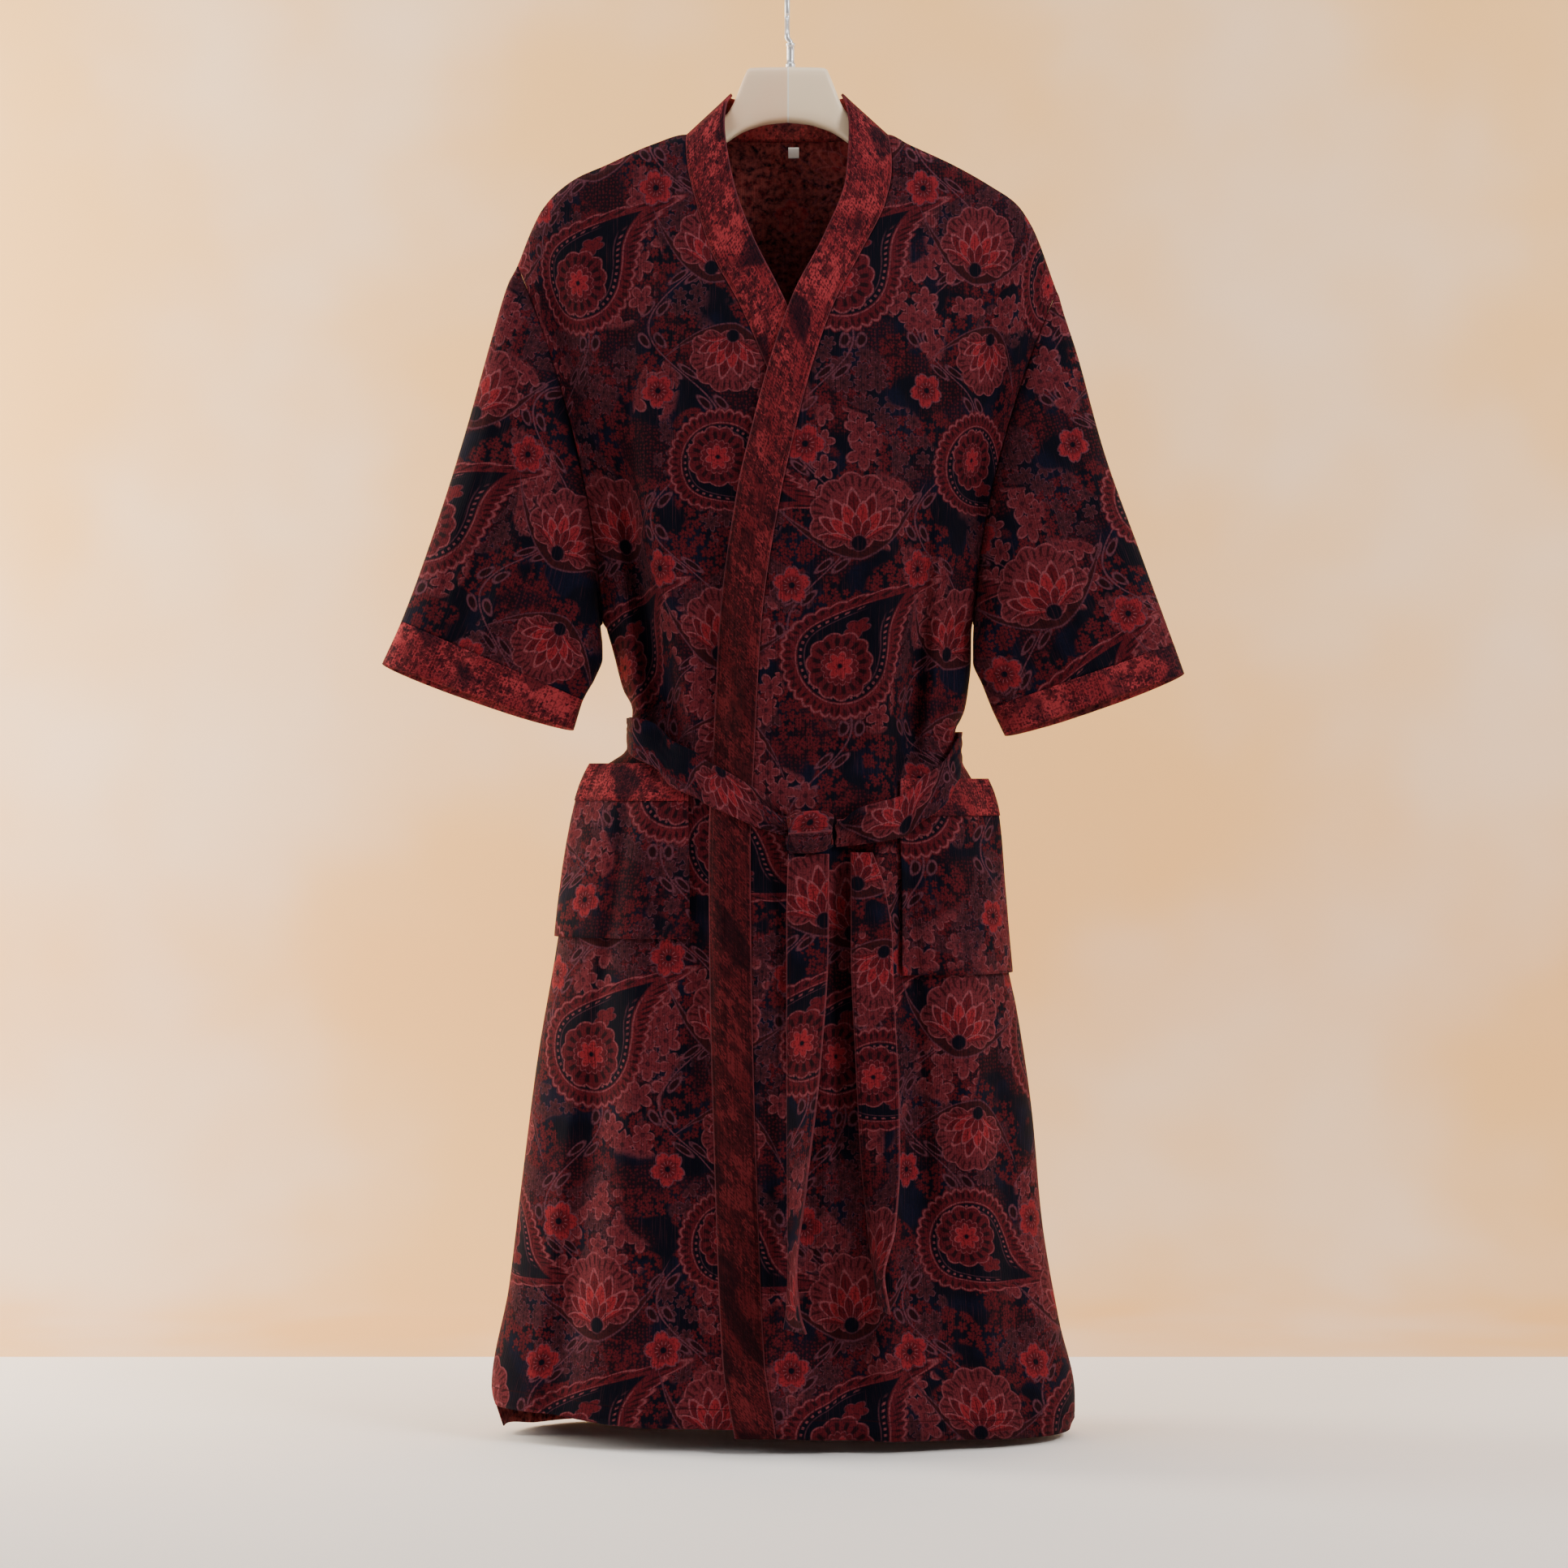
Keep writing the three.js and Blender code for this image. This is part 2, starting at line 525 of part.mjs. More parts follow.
// A geometry from shared points, turned so that its faces point out.
function solid(vertices, faces) {
  let volume = 0;
  for (let f = 0; f < faces.length; f += 3) {
    const [a, b, c] = [vertices[faces[f]], vertices[faces[f + 1]], vertices[faces[f + 2]]];
    volume += a.dot(b.clone().cross(c));
  }
  if (volume < 0) faces.reverse();
  const geometry = new THREE.BufferGeometry();
  const positions = vertices.flatMap((v) => [v.x, v.y, v.z]);
  geometry.setAttribute('position', new THREE.Float32BufferAttribute(positions, 3));
  geometry.setIndex(faces);
  geometry.computeVertexNormals();
  return geometry;
}

const robe = new THREE.Group();
const finish = (color, roughness, metalness = 0) => {
  return new THREE.MeshStandardMaterial({ color, roughness, metalness });
};
const PRINT = finish(0x3a2430, 0.85);
const BORDER = finish(0x7a3236, 0.85);
const HANGER_PLASTIC = finish(0xe4d8c8, 0.45);
const HOOK_METAL = finish(0xc9c9cc, 0.2, 1);
const TAG_CLOTH = finish(0xf2f0ec, 0.7);

function add(name, geometry, material) {
  const mesh = new THREE.Mesh(geometry, material);
  mesh.name = name;
  robe.add(mesh);
}

// Thickness of the shoulder seam, square to the slope, and of the side seam, along X.
function shoulderNormal(side, across) {
  const step = 0.01;
  const low = Math.max(across - step, 0);
  const high = Math.min(across + step, 1);
  const run = (high - low) * side.notch;
  const fall = side.shoulderZ(low * side.notch) - side.shoulderZ(high * side.notch);
  return new THREE.Vector3(side.sign * fall, 0, run).normalize();
}

// Columns of the back: close together round the neck curve, then out to the side seams.
const neckTurn = Math.asin(NECK_HALF / RIGHT.notch);
const backTurns = (() => {
  const neckAngles = [0.25, 0.5, 0.75].map((share) => share * RIGHT_ANGLE);
  const half = neckAngles.map((angle) => Math.asin((NECK_HALF / RIGHT.notch) * Math.sin(angle)));
  half.push(neckTurn);
  const outside = 7;
  for (let k = 1; k <= outside; k += 1) half.push(mix(neckTurn, RIGHT_ANGLE, k / outside));
  return [...half.map((t) => -t).reverse(), 0, ...half];
})();

function neckCurveNormal(turn) {
  const out = Math.sin(turn) * RIGHT.notch;
  const y = NECK_BACK * Math.sqrt(Math.max(1 - (out / NECK_HALF) ** 2, 0));
  return new THREE.Vector3(out / NECK_HALF ** 2, y / NECK_BACK ** 2, 0).normalize();
}

function backTopNormal(turn) {
  const side = turn < 0 ? RIGHT : LEFT;
  const across = Math.max(Math.sin(Math.abs(turn)), SLOPE_FROM);
  if (Math.abs(turn) >= neckTurn - TINY) return shoulderNormal(side, across);
  return neckCurveNormal(turn);
}

function addBack() {
  const levels = [...bodyLevels, HEM_BACK];
  add('back', wall({
    rows: levels.length - 1,
    columns: backTurns.length - 1,
    point: (i, j) => bodyPoint(1, backTurns[j], levels[i]),
    thickness: CLOTH,
    facing: 1,
    normal: (i, j) => {
      const turn = backTurns[j];
      if (i === 0) return backTopNormal(turn);
      if (Math.abs(turn) > RIGHT_ANGLE - TINY && i >= ARMHOLE_ROWS) {
        return new THREE.Vector3(Math.sign(turn), 0, 0);
      }
      return null;
    },
  }), PRINT);
}

// A front panel runs from its collar seam to the armhole and the side seam.
function frontPanel(side, band, hem, lift) {
  const seamX = reader(band, 'seamZ', 'seamX');
  const levels = [...bodyLevels, null];
  const turnFrom = (level) => turnAt(seamX(level), level);
  const point = (i, j) => {
    const base = levels[i] ?? HEM_RIGHT;
    const turn = mix(turnFrom(base), side.sign * RIGHT_ANGLE, j / FRONT_COLUMNS);
    const x = halfWidth(side, base) * Math.sin(turn);
    const level = levels[i] ?? hem(x);
    return bodyPoint(-1, turn, level, lift(x, level));
  };
  const normal = (i, j, here) => {
    if (i === 0) {
      const across = Math.max(Math.abs(here.x) / side.notch, SLOPE_FROM);
      return shoulderNormal(side, across);
    }
    if (j === FRONT_COLUMNS && i >= ARMHOLE_ROWS) return new THREE.Vector3(side.sign, 0, 0);
    if (j === 0) {
      const level = levels[i] ?? HEM_RIGHT;
      return bodyNormal(-1, turnFrom(level), level);
    }
    return null;
  };
  const geometry = wall({
    rows: levels.length - 1,
    columns: FRONT_COLUMNS,
    point,
    normal,
    thickness: CLOTH,
    facing: side.sign > 0 ? -1 : 1,
  });
  return { geometry, point, normal, rows: levels.length - 1, levels };
}

// A collar band is sewn to its panel's edge and ends in a free edge.
function frontBand(side, band, panel, lift) {
  const edgeX = reader(band, 'seamZ', 'edgeX');
  const edgeZ = reader(band, 'seamZ', 'edgeZ');
  const standing = band.filter((row) => row.edgeY !== null);
  const edgeY = reader(standing, 'seamZ', 'edgeY');
  const standUntil = standing[standing.length - 1].seamZ;
  const level = (i) => panel.point(i, 0).z;
  const seamNormal = (i) => panel.normal(i, 0, panel.point(i, 0));
  const edge = (i) => {
    const z = i === 0 ? NECK_Z : level(i);
    const last = i === panel.rows;
    const x = edgeX(z);
    const height = last ? z : edgeZ(z);
    const onBody = bodyPoint(-1, turnAt(x, height), height, lift(x, height) + BAND_PROUD);
    const stand = smooth(standUntil - 60, standUntil + 20, z);
    const y = z > standUntil ? edgeY(z) : mix(onBody.y, edgeY(z), stand);
    return new THREE.Vector3(x, y, height);
  };
  const point = (i, j) => {
    const seam = panel.point(i, 0).addScaledVector(seamNormal(i), BAND_PROUD);
    const rim = edge(i);
    const way = rim.clone().sub(seam);
    const start = SEAM_GAP / way.length();
    const share = mix(start, 1, j / BAND_COLUMNS);
    const here = seam.addScaledVector(way, share);
    if (i === 0) return here.setY(-SEAM_GAP / 2);
    if (i < 4 || j === 0) return here;
    const onBody = bodyPoint(-1, turnAt(here.x, here.z), here.z, lift(here.x, here.z) + BAND_PROUD);
    return here.setY(Math.min(here.y, onBody.y));
  };
  const normal = (i, j) => {
    if (j === 0) return seamNormal(i);
    if (i === 0) {
      const rise = edge(0).sub(panel.point(0, 0));
      const stand = new THREE.Vector3(side.sign * rise.z, 0, Math.abs(rise.x)).normalize();
      return seamNormal(0).lerp(stand, j / BAND_COLUMNS).normalize();
    }
    return null;
  };
  return wall({
    rows: panel.rows,
    columns: BAND_COLUMNS,
    point,
    normal,
    thickness: BAND_CLOTH,
    facing: side.sign > 0 ? 1 : -1,
  });
}

function addFronts() {
  const under = frontPanel(RIGHT, RIGHT_BAND, () => HEM_RIGHT, underLift);
  const over = frontPanel(LEFT, LEFT_BAND, hemLeft, lapLift);
  add('right_front', under.geometry, PRINT);
  add('left_front', over.geometry, PRINT);
  add('collar_band_right', frontBand(RIGHT, RIGHT_BAND, under, underLift), BORDER);
  add('collar_band_left', frontBand(LEFT, LEFT_BAND, over, lapLift), BORDER);
}

// The band behind the neck stands on the back's neck curve.
function addBackNeckBand() {
  const turns = backTurns.filter((turn) => Math.abs(turn) <= neckTurn + TINY);
  const last = turns.length - 1;
  const tipX = reader([{ at: -1, x: -52 }, { at: 0, x: 0 }, { at: 1, x: 51 }], 'at', 'x');
  const rimAt = (turn) => {
    const seam = bodyPoint(1, turn, NECK_Z);
    const share = seam.x / NECK_HALF;
    const round = Math.sqrt(Math.max(1 - share * share, 0));
    const x = mix(tipX(share), seam.x * 0.86, round * 0.6);
    return new THREE.Vector3(x, round * (NECK_BACK + BACK_BAND_LEAN) + SEAM_GAP / 2, NECK_Z + BACK_BAND_RISE);
  };
  add('collar_band_back', wall({
    rows: BAND_COLUMNS,
    columns: last,
    point: (i, j) => {
      const seam = bodyPoint(1, turns[j], NECK_Z).addScaledVector(backTopNormal(turns[j]), BAND_PROUD);
      const way = rimAt(turns[j]).sub(seam);
      const share = mix(CORNER_GAP / way.length(), 1, i / BAND_COLUMNS);
      const here = seam.addScaledVector(way, share);
      return j === 0 || j === last ? here.setY(SEAM_GAP / 2) : here;
    },
    normal: (i, j) => {
      const turn = turns[j];
      const side = turn < 0 ? RIGHT : LEFT;
      if (j === 0 || j === last) {
        const rise = rimAt(turn).sub(bodyPoint(1, turn, NECK_Z));
        const stand = new THREE.Vector3(side.sign * rise.z, 0, Math.abs(rise.x)).normalize();
        return backTopNormal(turn).lerp(stand, i / BAND_COLUMNS).normalize();
      }
      return i === 0 ? backTopNormal(turn) : null;
    },
    thickness: BAND_CLOTH,
    facing: -1,
  }), BORDER);
}

// One ring point of a sleeve. Round runs from the outer edge, over the front, and back behind.
function sleevePoint(side, table, along, round, proud = 0) {
  const read = (column) => reader(table, 'along', column)(along);
  const face = Math.sin(round) >= 0 ? -1 : 1;
  const across = (1 - Math.cos(round)) / 2;
  const out = mix(read('outerX'), read('innerX'), across) - read('bow') * armBow(across);
  const z = mix(read('outerZ'), read('innerZ'), across);
  let depth = read('depth') * Math.abs(Math.sin(round));
  for (const fold of SLEEVE_FOLDS) {
    if (fold.face !== face) continue;
    const offset = (across - fold.across) / fold.width;
    const middle = smooth(fold.from, fold.from + 0.2, along) * (1 - smooth(fold.to, fold.to + 0.3, along));
    depth -= fold.depth * middle * Math.exp(-offset * offset) * Math.abs(Math.sin(round));
  }
  const hang = face > 0 ? 4 * smooth(0.9, 1.1, along) * Math.abs(Math.sin(round)) : 0;
  return new THREE.Vector3(side.sign * out, face * (depth + proud) - read('forward'), z - hang);
}

function addSleeve(side, table, label) {
  const columns = ARMHOLE_ROWS * 2;
  const round = (j) => (j * 2 * Math.PI) / columns;
  add(`${label}_sleeve`, wall({
    rows: SLEEVE_ROWS.length - 1,
    columns,
    wrap: true,
    point: (i, j) => sleevePoint(side, table, SLEEVE_ROWS[i], round(j)),
    normal: (i, j) => (i === 0 && j === 0 ? shoulderNormal(side, 1) : null),
    thickness: CLOTH,
    facing: side.sign > 0 ? 1 : -1,
  }), PRINT);
  const cuffStart = 0.003;
  add(`${label}_cuff`, wall({
    rows: CUFF_ROWS.length - 1,
    columns,
    wrap: true,
    point: (i, j) => sleevePoint(side, table, CUFF_ROWS[i] + (i === 0 ? cuffStart : 0), round(j), BAND_PROUD),
    thickness: BAND_CLOTH,
    facing: side.sign > 0 ? 1 : -1,
  }), BORDER);
}

// A patch pocket lies on its front panel, with its mouth held open towards the side seam.
function addPocket(pocket, label) {
  const { side } = pocket;
  const pressAt = reader(POCKET_GAPE, 'across', 'press');
  const gapeAt = reader(POCKET_GAPE, 'across', 'gape');
  const lift = side === LEFT ? lapLift : () => 0;
  const point = (level, j, cloth) => {
    const across = j / POCKET_COLUMNS;
    const inner = Math.abs(turnAt(pocket.inner, level));
    const turn = side.sign * mix(inner, RIGHT_ANGLE, across);
    const rise = clamp01((level - pocket.bottom) / (pocket.top - pocket.bottom));
    const start = bodyPoint(-1, turn, level);
    const pressed = pocket.press * pressAt(across) * Math.sqrt(rise);
    const stand = POCKET_GAP + pressed + pocket.gape * gapeAt(across) * rise;
    const off = lift(start.x, level) + stand + cloth;
    return start.addScaledVector(bodyNormal(-1, turn, level), off);
  };
  const bagTop = pocket.trimSeam - CORNER_GAP;
  const bagLevels = BAG_ROWS.map((share) => mix(pocket.bottom, bagTop, share));
  const piece = (levels, cloth, name, material) => add(name, wall({
    rows: levels.length - 1,
    columns: POCKET_COLUMNS,
    point: (i, j) => point(levels[i], j, cloth),
    normal: (i, j) => (j === POCKET_COLUMNS ? new THREE.Vector3(side.sign, 0, 0) : null),
    thickness: cloth,
    facing: side.sign > 0 ? 1 : -1,
  }), material);
  piece(bagLevels, CLOTH, `${label}_pocket`, PRINT);
  const trimLevels = [pocket.trimSeam, mix(pocket.trimSeam, pocket.top, 0.5), pocket.top];
  piece(trimLevels, BAND_CLOTH, `${label}_pocket_trim`, BORDER);
}

function beltStretch(side, table, name) {
  const columns = 14;
  const zAt = reader(table, 'out', 'z');
  const halfAt = reader(table, 'out', 'half');
  const offAt = reader(table, 'out', 'off');
  const waist = table[table.length - 1].z;
  const startOut = table[0].out + SEAM_GAP;
  const startTurn = Math.asin(startOut / halfWidth(side, zAt(startOut)));
  const point = (i, j) => {
    const turn = mix(startTurn, RIGHT_ANGLE, j / columns);
    const out = halfWidth(side, waist) * Math.sin(turn);
    const level = zAt(out) + halfAt(out) * (1 - i);
    const here = side.sign * turn;
    return bodyPoint(-1, here, level).addScaledVector(bodyNormal(-1, here, level), offAt(out));
  };
  add(name, wall({
    rows: 2,
    columns,
    point,
    normal: (i, j) => (j === columns ? new THREE.Vector3(side.sign, 0, 0) : null),
    thickness: BELT_CLOTH,
    facing: side.sign > 0 ? -1 : 1,
  }), PRINT);
}

function addBelt() {
  beltStretch(RIGHT, BELT_RIGHT, 'belt_right_front');
  beltStretch(LEFT, BELT_LEFT, 'belt_left_front');
  const columns = 22;
  const zAt = reader(BELT_BACK, 'x', 'z');
  const offAt = reader(BELT_BACK, 'x', 'off');
  add('belt_back', wall({
    rows: 2,
    columns,
    point: (i, j) => {
      const turn = mix(-RIGHT_ANGLE, RIGHT_ANGLE, j / columns);
      const x = 165 * Math.sin(turn);
      const level = zAt(x) + BELT_BACK_HALF * (1 - i);
      return bodyPoint(1, turn, level).addScaledVector(bodyNormal(1, turn, level), offAt(x));
    },
    normal: (i, j) => {
      if (j === 0) return new THREE.Vector3(-1, 0, 0);
      return j === columns ? new THREE.Vector3(1, 0, 0) : null;
    },
    thickness: BELT_CLOTH,
    facing: 1,
  }), PRINT);
  addKnot();
}

// The knot is the belt folded over itself: a squarish lump with a crease down its wrap.
function addKnot() {
  const geometry = new THREE.SphereGeometry(1, 20, 12).toNonIndexed();
  const position = geometry.getAttribute('position');
  const centre = bodyPoint(-1, turnAt(KNOT.x, KNOT.z), KNOT.z);
  const square = (value) => Math.sign(value) * Math.abs(value) ** 0.55;
  const rounded = (value) => Math.round(value * 1e5) / 1e5;
  for (let k = 0; k < position.count; k += 1) {
    const [x, y, z] = [position.getX(k), position.getY(k), position.getZ(k)].map(rounded);
    const length = Math.hypot(x, y, z);
    const crease = 1 - 0.12 * Math.exp(-((x / 0.22) ** 2)) * (1 - Math.abs(y));
    position.setXYZ(
      k,
      KNOT.x + KNOT.halfWidth * square(x / length),
      centre.y - KNOT.off + KNOT.halfDepth * square(-z / length) * crease,
      KNOT.z + KNOT.halfHeight * square(y / length),
    );
  }
  add('belt_knot', geometry, PRINT);
}

function addTail(table, name) {
  const read = (column, z) => reader(table, 'z', column)(z);
  const top = table[0].z;
  const bottom = table[table.length - 1].z;
  const columns = 3;
  const point = (i, j) => {
    const z = mix(top, bottom, i / TAIL_ROWS);
    const seen = read('seen', z);
    const turned = Math.sqrt(Math.max(TAIL_WIDTH ** 2 - seen ** 2, 0));
    const width = z > table[1].z ? mix(seen, TAIL_WIDTH, (top - z) / (top - table[1].z)) : TAIL_WIDTH;
    const depth = z > table[1].z ? 0 : turned;
    const share = j / columns;
    const x = read('leftX', z) + Math.min(seen, width) * share;
    const lay = bodyPoint(-1, turnAt(read('leftX', z) + seen / 2, z), z).y;
    const ease = smooth(table[1].z, table[1].z - 60, z);
    return new THREE.Vector3(x, lay - read('off', z) - depth * ease * share, z);
  };
  add(name, wall({ rows: TAIL_ROWS, columns, point, thickness: BELT_CLOTH, facing: -1 }), PRINT);
}

// The blank tag is sewn inside the back, under the collar.
function addNeckTag() {
  const inside = CLOTH + CORNER_GAP * 2;
  add('neck_tag', wall({
    rows: 2,
    columns: 2,
    point: (i, j) => {
      const level = mix(TAG.top, TAG.bottom, i / 2);
      const x = mix(TAG.fromX, TAG.toX, j / 2);
      return new THREE.Vector3(x, bodyPoint(1, turnAt(x, level), level).y - inside, level);
    },
    normal: () => new THREE.Vector3(0, 1, 0),
    thickness: TAG.cloth,
    facing: 1,
  }), TAG_CLOTH);
}

// The hanger is lofted from section to section, with a ridge down the middle of its block.
function addHanger() {
  const rightArm = HANGER.slice(1).reverse().map((row) => ({ ...row, x: -row.out }));
  const leftArm = HANGER.map((row) => ({ ...row, x: row.out }));
  const stations = [...rightArm, ...leftArm];
  const vertices = [];
  for (const row of stations) {
    const c = HANGER_CHAMFER;
    const ring = [
      [-row.half + c, row.top], [row.half - c, row.top], [row.half, row.top - c], [row.half, row.under + c],
      [row.half - c, row.under], [-row.half + c, row.under],
      [-row.half, row.under + c], [-row.half, row.top - c],
    ];
    for (const [y, z] of ring) vertices.push(new THREE.Vector3(row.x, y, z));
  }
  const ring = 8;
  const faces = [];
  for (let s = 0; s < stations.length - 1; s += 1) {
    for (let k = 0; k < ring; k += 1) {
      const next = (k + 1) % ring;
      const [a, b] = [s * ring + k, s * ring + next];
      faces.push(a, b, b + ring, a, b + ring, a + ring);
    }
  }
  const end = (stations.length - 1) * ring;
  for (let k = 1; k < ring - 1; k += 1) {
    faces.push(0, k + 1, k);
    faces.push(end, end + k, end + k + 1);
  }
  add('hanger', solid(vertices, faces), HANGER_PLASTIC);
}

// The hook's wire leaves the ferrule, steps across, and bends over in the plane of the robe's depth.
class HookLine extends THREE.Curve {
  getPoint(t) {
    const reach = HOOK_INNER_R + HOOK_WIRE_R;
    const centreZ = -HOOK_INNER_R;
    if (t < HOOK_SHANK_SHARE) {
      const s = t / HOOK_SHANK_SHARE;
      const sweep = smooth(0.2, 1, s);
      const x = HOOK_SHANK_X * (1 - smooth(0, 0.5, s));
      return new THREE.Vector3(x, reach * sweep, mix(HOOK_FOOT_Z, centreZ, s));
    }
    const s = (t - HOOK_SHANK_SHARE) / (1 - HOOK_SHANK_SHARE);
    const angle = s * HOOK_SWEEP;
    return new THREE.Vector3(0, reach * Math.cos(angle), centreZ + reach * Math.sin(angle));
  }
}

function addHook() {
  const sides = 10;
  const section = new THREE.Shape();
  for (let k = 0; k < sides; k += 1) {
    const angle = (k * 2 * Math.PI) / sides;
    const [x, y] = [HOOK_WIRE_R * Math.cos(angle), HOOK_WIRE_R * Math.sin(angle)];
    if (k === 0) section.moveTo(x, y);
    else section.lineTo(x, y);
  }
  section.closePath();
  const route = { steps: HOOK_STEPS, extrudePath: new HookLine(), bevelEnabled: false };
  const hook = new THREE.ExtrudeGeometry(section, route);
  add('hook', hook, HOOK_METAL);
  const rim = FERRULE.map((row) => new THREE.Vector2(row.r, row.z));
  const foot = new THREE.Vector2(0, rim[0].y);
  const top = new THREE.Vector2(0, rim[rim.length - 1].y);
  const profile = [foot, ...rim, top];
  const ferrule = new THREE.LatheGeometry(profile, 16);
  ferrule.rotateX(RIGHT_ANGLE);
  ferrule.translate(HOOK_SHANK_X, 0, 0);
  add('ferrule', ferrule, HOOK_METAL);
}

addBack();
addFronts();
addBackNeckBand();
addSleeve(RIGHT, RIGHT_SLEEVE, 'right');
addSleeve(LEFT, LEFT_SLEEVE, 'left');
addPocket(RIGHT_POCKET, 'right');
addPocket(LEFT_POCKET, 'left');
addBelt();
addTail(TAIL_A, 'belt_tail_a');
addTail(TAIL_B, 'belt_tail_b');
addNeckTag();
addHanger();
addHook();

export default robe;
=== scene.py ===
import math

import bmesh
import bpy
import numpy as np
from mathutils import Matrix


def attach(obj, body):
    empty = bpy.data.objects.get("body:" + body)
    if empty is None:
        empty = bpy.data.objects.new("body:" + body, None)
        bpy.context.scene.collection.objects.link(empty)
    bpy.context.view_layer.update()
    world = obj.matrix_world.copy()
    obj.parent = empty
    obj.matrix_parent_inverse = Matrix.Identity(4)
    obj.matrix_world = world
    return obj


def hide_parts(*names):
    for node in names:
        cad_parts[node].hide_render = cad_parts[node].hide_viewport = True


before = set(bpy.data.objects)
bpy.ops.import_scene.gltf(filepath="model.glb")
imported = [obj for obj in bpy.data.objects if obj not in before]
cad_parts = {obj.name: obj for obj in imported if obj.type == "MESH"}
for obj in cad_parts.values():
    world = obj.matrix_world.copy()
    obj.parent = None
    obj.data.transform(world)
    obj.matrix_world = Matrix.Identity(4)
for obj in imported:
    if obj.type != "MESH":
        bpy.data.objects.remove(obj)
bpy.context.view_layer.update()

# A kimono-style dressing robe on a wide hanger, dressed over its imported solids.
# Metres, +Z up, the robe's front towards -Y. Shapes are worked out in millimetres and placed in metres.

MM = 0.001
RIGHT_ANGLE = math.pi / 2
FULL_TURN = 2 * math.pi

# ---------------------------------------------------------------- sizes of the robe, in millimetres

# Walls, and how far the bands stand off the cloth below them.
CLOTH = 1.3
BAND_CLOTH = 2.2
BELT_CLOTH = 1.8
BAND_PROUD = 0.5
BAND_CROWN = 0.9
TAG_THICK = 0.5

# The body. FULLNESS is a power, and ROWS_TO_PIT the share of the rows above the armpit.
NECK_Z = -131
PIT_Z = -583
NECK_HALF = 93
NECK_BACK = 45
ARMHOLE_DEPTH = 22
ARMHOLE_BOW = 15
ARMHOLE_OUT = 249
FULLNESS = 0.9
ROWS_TO_PIT = 0.42
LAP_LIFT = 4.2
UNDER_DROP = 8
POCKET_GAP = 2.5
BAG_GAP = 0.1

# The hem: its level at the right front and the back, and where the front turns down to it.
HEM_RIGHT = -1310
HEM_BACK = -1324
HEM_STARTS = -1295
HEM_LIFT = 8
HEM_DROP = 5
HEM_ROLL = 2.2

# How strongly the folds and creases are pressed in, and how they fade at their ends and the side seams.
FOLD_DEPTH = 1.25
CREASE_DEPTH = 1.7
FOLD_FADE = 60
FOLDS_FROM_SEAM = 3
CREASES_FROM_SEAM = 5
BELT_FROM_SEAM = 2.5

# The gathers of a sleeve's head, where a cuff starts and ends along the sleeve, and how far it drops behind.
GATHER = 1.1
GATHER_TURNS = 62
CUFF_START = 0.998
CUFF_END = 1.1
CUFF_DROP = 6.5


def table(columns, *rows):
    """A table with named columns, as a dictionary of columns sorted by the first one."""
    names = columns.split()
    ordered = sorted(rows, key=lambda row: row[0])
    return {name: [row[k] for row in ordered] for k, name in enumerate(names)}


def reader(source, column, key=None):
    """A smooth reading of one column: cubic between rows, with no overshoot."""
    key = key or next(iter(source))
    pairs = [(k, v) for k, v in zip(source[key], source[column]) if v is not None]
    keys = np.array([k for k, _ in pairs], float)
    values = np.array([v for _, v in pairs], float)
    steps = np.diff(values) / np.diff(keys)
    slopes = np.zeros(len(keys))
    slopes[0] = steps[0]
    slopes[-1] = steps[-1]
    before = steps[:-1]
    after = steps[1:]
    same = before * after > 0
    total = np.where(same, before + after, 1)
    slopes[1:-1] = np.where(same, 2 * before * after / total, 0)

    def read(value):
        value = np.clip(np.asarray(value, float), keys[0], keys[-1])
        i = np.clip(np.searchsorted(keys, value) - 1, 0, len(keys) - 2)
        span = keys[i + 1] - keys[i]
        t = (value - keys[i]) / span
        level = (2 * t**3 - 3 * t**2 + 1) * values[i] + (3 * t**2 - 2 * t**3) * values[i + 1]
        bend = (t**3 - 2 * t**2 + t) * slopes[i] + (t**3 - t**2) * slopes[i + 1]
        return level + bend * span

    return read


class Side:
    """One side of the wearer: its shoulder line, its outline and its armhole."""

    def __init__(self, sign, pit, shoulder, outline):
        self.sign = sign
        self.notch = ARMHOLE_OUT
        self.pit = pit
        self.shoulder_z = reader(shoulder, "z")
        self.outline = reader(outline, "out")


RIGHT = Side(
    -1,
    170,
    table(
        "out z",
        (0, -131), (93, -131), (124, -140), (169, -160), (193, -170.5), (212, -184), (226, -200),
        (235, -217), (249, -252),
    ),
    table(
        "z out",
        (-583, 170), (-585, 167.8), (-591, 166), (-610, 160.5), (-644, 151.5), (-662, 143), (-680, 144),
        (-690, 145.5), (-700, 148.5), (-706, 155), (-712, 165), (-760, 186), (-864, 210), (-900, 216),
        (-981, 230), (-1105, 246), (-1195, 257), (-1287, 273), (-1309, 267.5), (-1325, 262),
    ),
)
LEFT = Side(
    1,
    171,
    table(
        "out z",
        (0, -131), (93, -131), (112, -140), (155, -160), (190, -180), (211, -194.5), (226, -216), (249, -276),
    ),
    table(
        "z out",
        (-583, 171), (-585, 170.4), (-591, 170), (-619, 169.6), (-644, 167), (-662, 164), (-672, 160),
        (-682, 155), (-704, 159.5), (-712, 162), (-724, 169), (-740, 177), (-760, 183), (-832, 193.5),
        (-904, 204.5), (-937, 211.5), (-1034, 226), (-1132, 235), (-1226, 251), (-1294, 265.5),
        (-1316, 265.5), (-1325, 261),
    ),
)

